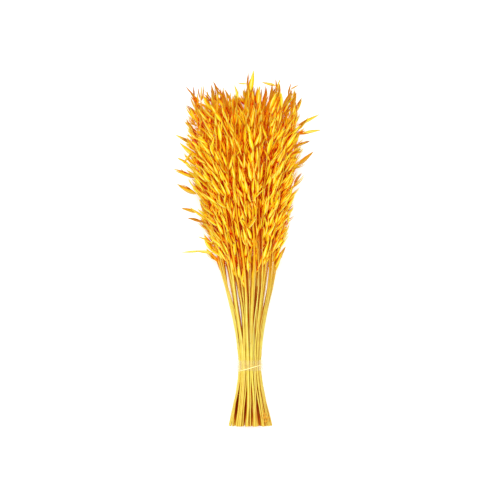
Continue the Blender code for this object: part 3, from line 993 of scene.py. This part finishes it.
# %% [markdown]
# ## Where a straw goes
#
# Real straws waver a little, differ in thickness and leave narrow slits where they part, both in the fan
# and at the cut ends. A slit has a place across the bunch, a start and an end. Every straw near it moves
# aside by one smooth bulge, so no straw gets a kink.

# %% Where a straw goes
WAVER = 3.0
WAVER_TURNS = (1.5, 4.0)
STRAW_THICKNESS = (0.62, 1.32)
UNEVEN_RINGS = (0.86, 1.16)
END_RADIUS = 0.5
PINCH = 0.08
PINCH_REACH = 16.0
GAPS = (
    (-0.55, 2.5, 130, 310, 0), (0.76, 2.3, 170, 320, 0), (-0.84, 2.3, 190, 330, 0),
    (0.30, 1.6, 180, 320, 3), (-0.78, 2.6, -60, 90, 3), (-0.33, 1.8, -60, 80, 4),
    (0.04, 1.3, -60, 70, 4), (0.47, 2.3, -60, 85, 4),
)
GAP_REACH = 7.0
GAP_ABOVE = -2.0


def parted(centres, heights, ring):
    """The straw's centres, drawn aside where the bunch opens in a slit."""
    for share, push, start, end, innermost in GAPS:
        widest = (start + end) / 2
        across, up = (np.interp(widest, heights, centres[:, axis]) for axis in (0, 2))
        middle = middle_at(widest)
        aside = across - middle[0] - share * half_width(widest)
        if ring >= innermost and (up > middle[2] + GAP_ABOVE or innermost == 0):
            open_here = np.sin(math.pi * np.clip((heights - start) / (end - start), 0, 1)) ** 2
            move = math.copysign(push * math.exp(-((aside / GAP_REACH) ** 2)), aside)
            centres = centres + move * open_here[:, None] * (1, 0, 0)
    return centres


def lay_straw(gathered, stalk, rng):
    """The straw, bent along the stalk's line and thinned towards its end spikelet."""
    points, corners, grain = straw_shape
    end = stalk.tip_at - END_LENGTH
    rings = np.unique(points[:, 2])
    heights = end * rings ** rng.uniform(*UNEVEN_RINGS)
    centres = np.array([stalk.middle(along) for along in heights])
    ways = np.gradient(centres, heights, axis=0)
    ways /= np.linalg.norm(ways, axis=1)[:, None]
    sides = np.cross(ways, (0.0, 0.0, 1.0))
    sides /= np.linalg.norm(sides, axis=1)[:, None]
    fronts = np.cross(ways, sides)
    loose = freedom(heights)[:, None]
    for across in (sides, fronts):
        phase, turns = rng.uniform(0, 2 * math.pi), rng.uniform(*WAVER_TURNS)
        waver = np.sin(phase + 2 * math.pi * turns * heights / TALLEST)[:, None]
        centres = centres + across * waver * loose * rng.uniform(0, WAVER)
    stations, radii = zip(*stalk.stops[:-1], (end, END_RADIUS))
    thick = np.interp(heights, stations, radii) * rng.uniform(*STRAW_THICKNESS)
    squeeze = PINCH * np.exp(-((heights - TIE_AT) / PINCH_REACH) ** 2)[:, None]
    middles = np.array([middle_at(at) for at in heights])
    centres = parted(centres + (middles - centres) * squeeze, heights, stalk.ring)
    i = np.searchsorted(rings, points[:, 2])
    placed = centres[i] + thick[i][:, None] * (points[:, 0:1] * sides[i] + points[:, 1:2] * fronts[i])
    gathered.add(placed, corners, STRAWS, grain, rng.uniform())


by_stalk = {}
for branch in branches:
    by_stalk.setdefault(branch.stalk, []).append(branch)
rng = np.random.default_rng(SEED + 2)
bunch = []
for group in groups:
    gathered = Gathered()
    for stalk in group:
        lay_straw(gathered, stalk, rng)
        for branch in by_stalk[stalk]:
            lay_spikelet(gathered, branch, rng)
            if branch.stem_way is not None:
                lay_branch(gathered, branch, rng)
    bunch.append(gathered)
print("triangles in all stalks:", sum(len(gathered.whole()[1]) for gathered in bunch))

# %% [markdown]
# ## How much light reaches each point
#
# In a dense head the outer husks are bright yellow, and the ones behind glow orange and then deep red,
# because what light they get has come through other husks. A few rays from each point towards the open
# air show how much is in its way. The result is kept with the point, and the materials read it, so the
# colours stay with the husks from every side. Between the cut ends it is darker still.

# %% Rays to the open air
RAYS = 10
RAY_REACH = 24.0
RAY_SPREAD = 0.98
OUTWARDS = 0.7
OPEN_TOP = 35.0
CUT_ENDS, CUT_END_SHADE = 95.0, 2.2
LIFT = 0.25


def unit(rows, least=1e-9):
    """Each row, made one long."""
    return rows / np.maximum(np.linalg.norm(rows, axis=1), least)[:, None]


def outward(points):
    """The direction from the bunch's middle line to each point."""
    away = points.copy()
    away[:, 0] -= smooth_through(MIDDLE_ACROSS, points[:, 1])
    away[:, 1] = np.maximum(points[:, 1] - SKYLINE + OPEN_TOP, 0.0)
    away[:, 2] -= smooth_through(MIDDLE_UP, points[:, 1])
    return unit(away, 1.0)


def normals_of(points, corners):
    """Each point's normal, from the triangles round it."""
    first, second, third = (points[corners[:, k]] for k in range(3))
    flat = np.cross(second - first, third - first)
    normals = np.zeros_like(points)
    for k in range(3):
        np.add.at(normals, corners[:, k], flat)
    return unit(normals)


def light_at(points, normals, rng):
    """The share of rays from each point that reach the open air."""
    main = unit(normals + OUTWARDS * outward(points))
    starts = (points + LIFT * normals).tolist()
    free, cast = np.zeros(len(points)), surface.ray_cast
    for _ in range(RAYS):
        way = rng.normal(size=points.shape)
        way = main + RAY_SPREAD * way / np.linalg.norm(way, axis=1)[:, None]
        free += [cast(start, ray, RAY_REACH)[0] is None for start, ray in zip(starts, way.tolist())]
    return free / RAYS


starts_at = np.cumsum([0] + [gathered.count for gathered in bunch])
all_points = np.concatenate([gathered.whole()[0] for gathered in bunch])
all_corners = np.concatenate([g.whole()[1] + start for g, start in zip(bunch, starts_at)])
surface = BVHTree.FromPolygons(all_points.tolist(), all_corners.tolist(), all_triangles=True)
light = light_at(all_points, normals_of(all_points, all_corners), rng)
light = np.where(all_points[:, 1] < CUT_ENDS, light**CUT_END_SHADE, light)
print("light: mean", light.mean().round(2), "of", len(light), "points")

# %% [markdown]
# ## The look of dry husks and straw
#
# Both are the same plant fibre: fine lengthwise nerves, a mottled golden colour that is redder where
# little light reaches, and a soft gloss. The nerves and the mottling are made once, as node groups, and
# each material sets its own colours. A picture of real husks would look as good from one side only.

# %% Helpers for materials
def node(tree, kind, **values):
    made = tree.nodes.new(kind)
    for name, value in values.items():
        setattr(made, name, value)
    return made


def plug(socket, value):
    """Links another node's output to the socket, or sets its number or colour."""
    if isinstance(value, bpy.types.NodeSocket):
        socket.id_data.links.new(value, socket)
    else:
        socket.default_value = (*value, 1.0) if isinstance(value, tuple) else value


def calc(tree, operation, *values, clamp=False):
    made = node(tree, "ShaderNodeMath", operation=operation, use_clamp=clamp)
    for socket, value in zip(made.inputs, values):
        plug(socket, value)
    return made.outputs[0]


def blend(tree, share, first, second):
    """A colour between two, each a colour or a socket."""
    made = node(tree, "ShaderNodeMix", data_type="RGBA")
    for k, value in ((0, share), (6, first), (7, second)):
        plug(made.inputs[k], value)
    return made.outputs[2]


def layered(tree, body, *layers):
    """The body colour, with (share, colour) layers laid over it in turn."""
    for share, colour in layers:
        body = blend(tree, share, body, colour)
    return body


def ramp(tree, value, *stops):
    """A value or a colour through (place, value or colour) stops."""
    made = node(tree, "ShaderNodeValToRGB")
    points = made.color_ramp.elements
    while len(points) < len(stops):
        points.new(0.5)
    for point, (place, shade) in zip(points, stops):
        shade = shade if isinstance(shade, tuple) else (shade, shade, shade)
        point.position, point.color = place, (*shade, 1.0)
    plug(made.inputs[0], value)
    return made.outputs[0]


def noise(tree, vector, scale, detail=2.0):
    made = node(tree, "ShaderNodeTexNoise")
    for name, value in (("Vector", vector), ("Scale", scale), ("Detail", detail)):
        plug(made.inputs[name], value)
    return made.outputs["Fac"]


def split(tree, vector):
    """The three numbers of a vector."""
    made = node(tree, "ShaderNodeSeparateXYZ")
    plug(made.inputs[0], vector)
    return made.outputs


def new_finish(name):
    """A new material, its nodes and its shader."""
    material = bpy.data.materials.new(name)
    material.use_nodes = True
    return material, material.node_tree, material.node_tree.nodes["Principled BSDF"]


def bump_into(shader, height, strength, distance):
    bump = node(shader.id_data, "ShaderNodeBump")
    for name, value in (("Strength", strength), ("Distance", distance), ("Height", height)):
        plug(bump.inputs[name], value)
    plug(shader.inputs["Normal"], bump.outputs["Normal"])


print("material helpers ready")

# %% Nerves along the fibre, and mottling
def new_group(name, inputs, outputs):
    """A node group with these sockets: the group, what comes in and what goes out."""
    group = bpy.data.node_groups.new(name, "ShaderNodeTree")
    for title, kind in inputs:
        group.interface.new_socket(title, in_out="INPUT", socket_type=f"NodeSocket{kind}")
    for title in outputs:
        group.interface.new_socket(title, in_out="OUTPUT", socket_type="NodeSocketFloat")
    return group, node(group, "NodeGroupInput").outputs, node(group, "NodeGroupOutput").inputs


def nerves_group():
    """Fine lines along a husk or straw, from the grain attribute."""
    inputs = (("Grain", "Vector"), ("Count", "Float"), ("Wander", "Float"), ("Copy", "Float"))
    group, given, made = new_group("fibre_nerves", inputs, ("Nerve", "Streak"))
    grain = split(group, given["Grain"])
    wander = calc(group, "MULTIPLY", noise(group, given["Grain"], 5.0), given["Wander"])
    place = calc(group, "MULTIPLY", grain["X"], given["Count"])
    angle = calc(group, "MULTIPLY", calc(group, "ADD", place, wander), 2 * math.pi)
    plug(made["Nerve"], calc(group, "MULTIPLY_ADD", calc(group, "SINE", angle), 0.5, 0.5))
    stretched = node(group, "ShaderNodeCombineXYZ")
    for axis, value, by in (("X", place, 1.4), ("Y", grain["Y"], 1.6), ("Z", given["Copy"], 60.0)):
        plug(stretched.inputs[axis], calc(group, "MULTIPLY", value, by))
    streak = noise(group, stretched.outputs[0], 1.0, 3.0)
    plug(made["Streak"], ramp(group, streak, (0.36, 0.0), (0.64, 1.0)))
    return group


def mottle_group():
    """Soft patches, from Object coordinates, so that no two husks look alike."""
    group, given, made = new_group("dry_mottle", (("Scale", "Float"),), ("Mottle",))
    place = node(group, "ShaderNodeTexCoord").outputs["Object"]
    plug(made["Mottle"], ramp(group, noise(group, place, given["Scale"], 3.0), (0.32, 0.0), (0.68, 1.0)))
    return group


NERVES, MOTTLE = nerves_group(), mottle_group()
print("groups:", NERVES.name, MOTTLE.name)

# %% What husks and straw share
GOLD_SHEEN = (1.0, 0.75, 0.15)
SHEEN_LEVEL = 0.18
GLOW = 0.26


def fibre_parts(tree, count, wander, scale):
    """The nerves, the mottling, the place on the husk or straw, its ripeness and its light."""
    grain, tone = (node(tree, "ShaderNodeAttribute", attribute_name=name) for name in ("grain", "tone"))
    level, nerves = split(tree, tone.outputs["Vector"]), node(tree, "ShaderNodeGroup", node_tree=NERVES)
    inputs = (grain.outputs["Vector"], count, wander, level["X"])
    for name, value in zip(("Grain", "Count", "Wander", "Copy"), inputs):
        plug(nerves.inputs[name], value)
    mottle = node(tree, "ShaderNodeGroup", node_tree=MOTTLE)
    plug(mottle.inputs["Scale"], scale)
    place = split(tree, grain.outputs["Vector"])
    return nerves.outputs, mottle.outputs[0], place, level["X"], level["Z"]


def finish_fibre(shader, body, rough, nerve, relief, glow):
    """The soft gloss, the fine relief, and the red glow of light that has come through other husks."""
    for name, value in (
        ("Base Color", body), ("Roughness", rough), ("Specular Tint", GOLD_SHEEN),
        ("Specular IOR Level", SHEEN_LEVEL), ("Emission Color", glow), ("Emission Strength", GLOW),
    ):
        plug(shader.inputs[name], value)
    bump_into(shader, nerve, *relief)


print("shared parts ready")

# %% Golden husks
HUSK_GOLD = (0.86, 0.74, 0.006)
HUSK_AMBER = (0.76, 0.40, 0.003)
HUSK_PALE = (0.93, 0.86, 0.03)
# A near-white yellow, painted on as a highlight along the keels of well-lit husks.
HUSK_HIGHLIGHT = (1.0, 0.94, 0.55)
HUSK_OCHRE = (0.56, 0.20, 0.003)
HUSK_BROWN = (0.38, 0.12, 0.002)
HUSK_SHADES = (
    (0.0, (0.16, 0.0005, 0.0)), (0.25, (0.60, 0.018, 0.0)),
    (0.45, (0.84, 0.16, 0.0)), (0.65, (0.86, 0.40, 0.001)),
)
HUSK_GLOWS = (
    (0.0, (0.60, 0.008, 0.0)), (0.25, (1.0, 0.06, 0.0)),
    (0.5, (0.62, 0.12, 0.0)), (0.85, (0.0, 0.0, 0.0)),
)

husk_finish, tree, shader = new_finish("golden_husk")
fibre, mottle, place, riper, lightness = fibre_parts(tree, 5.0, 0.35, 160.0)
ripe = calc(tree, "MULTIPLY_ADD", riper, 0.6, calc(tree, "MULTIPLY", mottle, 0.28))
# A paler middle along each husk, fading to its edges: a painted highlight of its rounded back.
ridge_highlight = ramp(tree, place["X"], (0.1, 0.0), (0.5, 0.7), (0.9, 0.0))
unripe = calc(tree, "SUBTRACT", 1.7, riper, clamp=True)
# A narrow painted highlight on the keel of the husks that get the most light.
keel_highlight = ramp(tree, place["X"], (0.34, 0.0), (0.5, 1.0), (0.66, 0.0))
over = calc(tree, "SUBTRACT", riper, 1.0)
weathered = ramp(tree, over, (0.2, HUSK_OCHRE), (1.0, HUSK_BROWN))
body = layered(
    tree,
    ramp(tree, ripe, (0.12, HUSK_GOLD), (0.76, HUSK_AMBER), (0.98, HUSK_OCHRE)),
    (ramp(tree, place["Y"], (0.0, 0.8), (0.3, 0.15), (0.6, 0.0), (1.0, 0.1)), HUSK_AMBER),
    (calc(tree, "MULTIPLY", ridge_highlight, unripe), HUSK_PALE),
    (calc(tree, "MULTIPLY", fibre["Nerve"], 0.3), HUSK_PALE),
    (calc(tree, "MULTIPLY", fibre["Streak"], 0.2), HUSK_AMBER),
    (calc(tree, "MULTIPLY", keel_highlight, ramp(tree, lightness, (0.6, 0.0), (1.0, 0.6))), HUSK_HIGHLIGHT),
    (ramp(tree, over, (0.0, 0.0), (0.35, 0.85)), weathered),
)
lit = ramp(tree, lightness, (0.21, 0.0), (0.55, 1.0))
body = blend(tree, lit, ramp(tree, lightness, *HUSK_SHADES), body)
rough = calc(tree, "MULTIPLY_ADD", mottle, 0.18, 0.3)
finish_fibre(shader, body, rough, fibre["Nerve"], (0.6, 0.0004), ramp(tree, lightness, *HUSK_GLOWS))
print("husk material:", len(tree.nodes), "nodes")

# %% Pale straw
STRAW_PALE = (0.80, 0.73, 0.155)
# A pale yellow, painted along each straw's top and underside as a highlight.
STRAW_HIGHLIGHT = (0.86, 0.82, 0.30)
STRAW_GOLD = (0.76, 0.61, 0.038)
STRAW_OCHRE = (0.58, 0.34, 0.03)
STRAW_SHADES = ((0.0, (0.19, 0.006, 0.0)), (0.3, (0.50, 0.15, 0.008)), (0.6, (0.74, 0.52, 0.06)))
STRAW_GLOWS = ((0.0, (0.35, 0.01, 0.0)), (0.3, (0.5, 0.05, 0.0)), (0.8, (0.0, 0.0, 0.0)))
KNOT_BROWN = (0.34, 0.15, 0.03)
KNOT_SHADE, BELOW_KNOT, OVER_KNOT = 0.3, 0.012, 0.008

straw_finish, tree, shader = new_finish("pale_straw")
fibre, mottle, place, riper, lightness = fibre_parts(tree, 8.0, 0.25, 90.0)
ripe = calc(tree, "MULTIPLY_ADD", riper, 0.72, calc(tree, "MULTIPLY", mottle, 0.35))
rings = []
for knot in KNOTS:
    rings += [(knot - BELOW_KNOT, 0.0), (knot, KNOT_SHADE), (knot + OVER_KNOT, 0.0)]
in_head = ramp(tree, place["Y"], (0.45, 0.0), (0.6, 0.9))
# Two of these layers paint light: a highlight along each straw's top and underside, and shade in ochre
# down its two sides.
body = layered(
    tree,
    ramp(tree, ripe, (0.25, STRAW_PALE), (0.6, STRAW_GOLD), (1.05, STRAW_OCHRE)),
    (calc(tree, "MULTIPLY", fibre["Nerve"], 0.3), STRAW_GOLD),
    (calc(tree, "MULTIPLY", fibre["Streak"], 0.3), STRAW_OCHRE),
    (ramp(tree, place["X"], (0.3, 0.0), (0.5, 0.5), (0.7, 0.0)), STRAW_HIGHLIGHT),
    (ramp(tree, place["X"], (0.0, 0.55), (0.2, 0.0), (0.8, 0.0), (1.0, 0.55)), STRAW_OCHRE),
    (ramp(tree, place["Y"], (0.0, 0.35), (0.13, 0.16), (0.2, 0.0)), STRAW_OCHRE),
    (ramp(tree, place["Y"], *rings), KNOT_BROWN),
    (in_head, HUSK_AMBER),
)
shades = (ramp(tree, lightness, *stops) for stops in (STRAW_SHADES, HUSK_SHADES))
lit = ramp(tree, lightness, (0.25, 0.0), (0.65, 1.0))
body = blend(tree, lit, blend(tree, in_head, *shades), body)
rough = calc(tree, "MULTIPLY_ADD", mottle, 0.2, 0.34)
finish_fibre(shader, body, rough, fibre["Nerve"], (0.5, 0.0003), ramp(tree, lightness, *STRAW_GLOWS))
print("straw material:", len(tree.nodes), "nodes")

# %% [markdown]
# ## Build the stalks
#
# Each node of the model now gets its fine piece. Edges sharper than a wide angle stay crisp, which keeps
# a husk's two long edges thin.

# %% One object for each node
SHARP = math.radians(75)

for number, gathered in enumerate(bunch):
    mine = light[starts_at[number]:starts_at[number + 1]]
    piece = gathered.piece(f"fine_{node_of(number)}", (husk_finish, straw_finish), mine)
    pick(piece)
    bpy.ops.object.shade_smooth_by_angle(angle=SHARP)
    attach(piece, "root")
    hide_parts(node_of(number))
print("pieces:", len(bunch))

# %% [markdown]
# ## The tie
#
# A turn of clear film holds the straws together. Film is a thin wall, so it starts as one open ring that
# is drawn out along the straws, crumpled a little, smoothed, and given its thickness last. Its loose end
# is twisted into a pale cord of two strands, which climbs across the front. That is a small section with
# a waist, spun once round the bunch and then twisted.

# %% The clear film
TIE_RADIUS = 22.6
FILM_FROM, FILM_TO, FILM_STEPS, FILM_SIDES = 102.5, 121.5, 5, 28
FILM_THICK = 0.3
LOOSE_SIDES = 1.05
CRUMPLE = 0.25
SOFT = math.radians(50)


def tie_centre(along):
    """The middle of the straws at the tie, in metres."""
    return (np.array((0.0, along, smooth_through(MIDDLE_UP, along))) + shift) * MM


def change(obj, kind, **values):
    """Changes the active object by a modifier."""
    made = obj.modifiers.new(kind.lower(), kind)
    for name, value in values.items():
        setattr(made, name, value)
    bpy.ops.object.modifier_apply(modifier=made.name)


film = new_ring(
    "film_band", FILM_SIDES, TIE_RADIUS * MM, "NOTHING",
    location=tie_centre(FILM_FROM), rotation=(math.radians(90), 0, 0),
)
bpy.ops.transform.resize(value=(LOOSE_SIDES, 1, 1), center_override=tie_centre(FILM_FROM))
stations = np.linspace(FILM_FROM, FILM_TO, FILM_STEPS + 1)
for low, high in zip(stations, stations[1:]):
    step = tie_centre(high) - tie_centre(low)
    bpy.ops.mesh.extrude_region_move(TRANSFORM_OT_translate={"value": step})
bpy.ops.mesh.select_all(action="SELECT")
bpy.ops.transform.vertex_random(offset=CRUMPLE * MM, uniform=0.0, normal=1.0, seed=SEED)
face_outwards()
done()
change(film, "SUBSURF", levels=2, render_levels=2)
change(film, "SOLIDIFY", thickness=FILM_THICK * MM, offset=1.0)
bpy.ops.object.shade_smooth_by_angle(angle=SOFT)
print("film:", len(film.data.polygons), "faces, up to z", round(points_of(film.data)[:, 2].max(), 4))

# %% The look of clear film
CLEAR, YELLOWED = (1.0, 0.94, 0.86), (1.0, 0.86, 0.66)

film_finish, tree, shader = new_finish("clear_film")
spread = node(tree, "ShaderNodeMapping")
spread.inputs["Scale"].default_value = (40.0, 110.0, 40.0)
plug(spread.inputs["Vector"], node(tree, "ShaderNodeTexCoord").outputs["Object"])
wrinkle = noise(tree, spread.outputs[0], 1.0)
edge_on = node(tree, "ShaderNodeLayerWeight")
edge_on.inputs["Blend"].default_value = 0.45
milky = calc(tree, "MULTIPLY_ADD", wrinkle, 0.3, edge_on.outputs["Facing"])
plug(shader.inputs["Base Color"], blend(tree, wrinkle, CLEAR, YELLOWED))
plug(shader.inputs["Alpha"], ramp(tree, milky, (0.3, 0.04), (0.6, 0.14), (0.95, 0.62)))
plug(shader.inputs["Roughness"], ramp(tree, wrinkle, (0.3, 0.08), (0.7, 0.25)))
bump_into(shader, wrinkle, 0.25, 0.0006)
film.data.materials.append(film_finish)
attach(film, "root")
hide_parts("tie_band")
print("film material:", len(tree.nodes), "nodes")

# %% The twisted strand
STRAND_RADIUS, STRAND_RING, STRAND_AT, STRAND_CLIMB = 0.9, 24.34, 107.5, 7.0
STRAND_SIDES, STRAND_STEPS, STRAND_TWISTS = 8, 144, 13
STRAND_WAIST = 0.5
SLIMMEST, SLIMMING = 0.2, 2.5
STRAND_SHARP = math.radians(60)

on_ring = (STRAND_RING * MM, 0, 0)
strand = new_ring("twisted_strand", STRAND_SIDES, STRAND_RADIUS * MM, "NOTHING", location=on_ring)
select_where(strand, lambda spot: abs(spot.x - on_ring[0]) < 0.05 * MM)
bpy.ops.transform.resize(value=(1, STRAND_WAIST, 1), center_override=on_ring)
bpy.ops.mesh.select_all(action="SELECT")
bpy.ops.mesh.spin(steps=STRAND_STEPS, angle=2 * math.pi, center=(0, 0, 0), axis=(0, 1, 0))
bpy.ops.mesh.select_all(action="SELECT")
bpy.ops.mesh.remove_doubles(threshold=0.01 * MM)
face_outwards()
done()

# %% Twist it
x, y, z = (points_of(strand.data) / MM).T
turn, out = np.arctan2(z, x), np.hypot(x, z) - STRAND_RING
c, s = np.cos(STRAND_TWISTS * turn), np.sin(STRAND_TWISTS * turn)
out, aside = out * c - y * s, out * s + y * c
slim = SLIMMEST + (1 - SLIMMEST) * np.clip(np.sin(turn), 0, 1) ** SLIMMING
along = STRAND_AT + STRAND_CLIMB * np.cos(turn) + aside * slim
ring = STRAND_RING + out * slim
up = smooth_through(MIDDLE_UP, along) + ring * np.sin(turn)
spots = np.stack((ring * np.cos(turn), along, up), axis=1)
strand.data.vertices.foreach_set("co", ((spots + shift) * MM).ravel())
start_on(strand)
face_outwards()
done()
bpy.ops.object.shade_smooth_by_angle(angle=STRAND_SHARP)
print("strand:", len(strand.data.polygons), "faces")

# %% The look of the strand
STRAND_PALE, STRAND_GOLD = (1.0, 0.93, 0.50), (1.0, 0.80, 0.25)

strand_finish, tree, shader = new_finish("twisted_film")
streak = noise(tree, node(tree, "ShaderNodeTexCoord").outputs["Object"], 900.0)
plug(shader.inputs["Base Color"], blend(tree, streak, STRAND_PALE, STRAND_GOLD))
plug(shader.inputs["Roughness"], ramp(tree, streak, (0.3, 0.15), (0.7, 0.35)))
bump_into(shader, streak, 0.3, 0.0003)
strand.data.materials.append(strand_finish)
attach(strand, "root")
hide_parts("tie_strand")
print("strand material:", len(tree.nodes), "nodes")

# %% [markdown]
# ## Curled bits of leaf sheath
#
# A few dry strips of sheath still cling to the cut ends and curl like wood shavings. Each is a short
# edge, spun through most of a turn about a leaning axis, and then given the thickness of paper. It lies
# on the straw that a ray from above meets first.

# %% Curled sheath
CURLS = (
    (23.0, 19.0, 3.8, 260.0, 20.0), (28.0, 12.0, 3.6, -290.0, 75.0), (26.5, 25.5, 3.0, 230.0, -30.0),
    (31.5, 18.0, 3.2, -240.0, 110.0), (-21.0, 60.0, 2.4, 200.0, 10.0),
)
SHEATH_WIDE, SHEATH_THICK, SHEATH_TILT, CURL_STEPS = 2.8, 0.3, math.radians(62.0), 14
CURL_AXIS = (0.3, 0.2, 0.93)
# The grain puts the sheath at a straw's edge, where the straw material paints shade in ochre, and it gets
# one fixed, low light number.
SHEATH_GRAIN, SHEATH_RIPE, SHEATH_LIGHT = (0.0, 0.2, STRAW_PART), 1.6, 0.4
HIGH_UP = 200.0


def curl(across, along, radius, turn, heading):
    """One strip that stands on its edge on top of the straws at this place."""
    top = surface.ray_cast((across, along, HIGH_UP), (0, 0, -1))[0][2]
    centre = (np.array((across, along, top + SHEATH_WIDE / 2)) + shift) * MM
    bpy.ops.object.select_all(action="DESELECT")
    bpy.ops.mesh.primitive_plane_add(
        size=SHEATH_WIDE * MM, location=centre, rotation=(math.radians(90), 0, math.radians(90))
    )
    strip = bpy.context.active_object
    bpy.ops.object.transform_apply(location=True, rotation=True)
    start_on(strip)
    select_where(strip, lambda spot: spot.y > centre[1])
    bpy.ops.mesh.delete(type="VERT")
    bpy.ops.mesh.select_all(action="SELECT")
    way = math.radians(heading)
    for vertex in bmesh.from_edit_mesh(strip.data).verts:
        rise = vertex.co.z - centre[2]
        out = radius * MM + rise * math.sin(SHEATH_TILT)
        vertex.co = centre + (out * math.cos(way), out * math.sin(way), rise * math.cos(SHEATH_TILT))
    bpy.ops.mesh.spin(steps=CURL_STEPS, angle=math.radians(turn), center=centre, axis=CURL_AXIS)
    done()
    return strip


strips = [curl(*values) for values in CURLS]
bpy.ops.object.select_all(action="DESELECT")
for strip in strips:
    strip.select_set(True)
bpy.context.view_layer.objects.active = strips[0]
bpy.ops.object.join()
sheath = bpy.context.active_object
sheath.name = "curled_sheath"
print("sheath:", len(sheath.data.polygons), "faces before its thickness")
change(sheath, "SOLIDIFY", thickness=SHEATH_THICK * MM, offset=0.0)
bpy.ops.object.shade_smooth_by_angle(angle=SOFT)
count = len(sheath.data.vertices)
ripe, sheath_light = np.full(count, SHEATH_RIPE), np.full(count, SHEATH_LIGHT)
keep_numbers(sheath.data, np.tile(SHEATH_GRAIN, (count, 1)), ripe, sheath_light)
sheath.data.materials.append(straw_finish)
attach(sheath, "root")

# %% [markdown]
# ## Floor, light and camera
#
# A pale floor that glows faintly, one far soft light and a bright room give the clean look of a catalogue
# picture. The camera looks straight down through a long lens, with the tips at the top of the picture.

# %% Floor
WHITE = (1.0, 1.0, 1.0)
FLOOR_WIDE = 12.0

bpy.ops.object.select_all(action="DESELECT")
bpy.ops.mesh.primitive_plane_add(size=FLOOR_WIDE)
floor = bpy.context.active_object
floor.name = "floor"
floor_finish, tree, shader = new_finish("pale_floor")
for name, value in (
    ("Base Color", (0.96, 0.96, 0.96)), ("Roughness", 0.9),
    ("Emission Color", WHITE), ("Emission Strength", 0.2),
):
    plug(shader.inputs[name], value)
floor.data.materials.append(floor_finish)
print("floor:", floor.name)

# %% Lights
KEY_LEAN = (math.radians(-12.0), math.radians(-2.0), 0)
KEY_SPREAD, KEY_STRENGTH, ROOM_STRENGTH = math.radians(26.0), 1.6, 1.06

lamp = bpy.data.lights.new("key", "SUN")
lamp.angle, lamp.energy = KEY_SPREAD, KEY_STRENGTH
key = bpy.data.objects.new("key", lamp)
key.rotation_euler = KEY_LEAN
bpy.context.scene.collection.objects.link(key)
room = bpy.data.worlds.new("soft_room")
room.use_nodes = True
for name, value in (("Color", WHITE), ("Strength", ROOM_STRENGTH)):
    plug(room.node_tree.nodes["Background"].inputs[name], value)
bpy.context.scene.world = room
bpy.context.scene.view_settings.view_transform = "Standard"

# %% Camera
MID_HEIGHT = 0.06
LENS, SENSOR = 200.0, 36.0
FRAME_WIDE = 0.9155
LOOK_ALONG = -0.0009

lens = bpy.data.cameras.new("camera")
lens.lens, lens.sensor_width = LENS, SENSOR
camera = bpy.data.objects.new("camera", lens)
camera.location = (shift[0] * MM, LOOK_ALONG, MID_HEIGHT + FRAME_WIDE * LENS / SENSOR)
bpy.context.scene.collection.objects.link(camera)
bpy.context.scene.camera = camera
print("camera at", [round(c, 3) for c in camera.location])
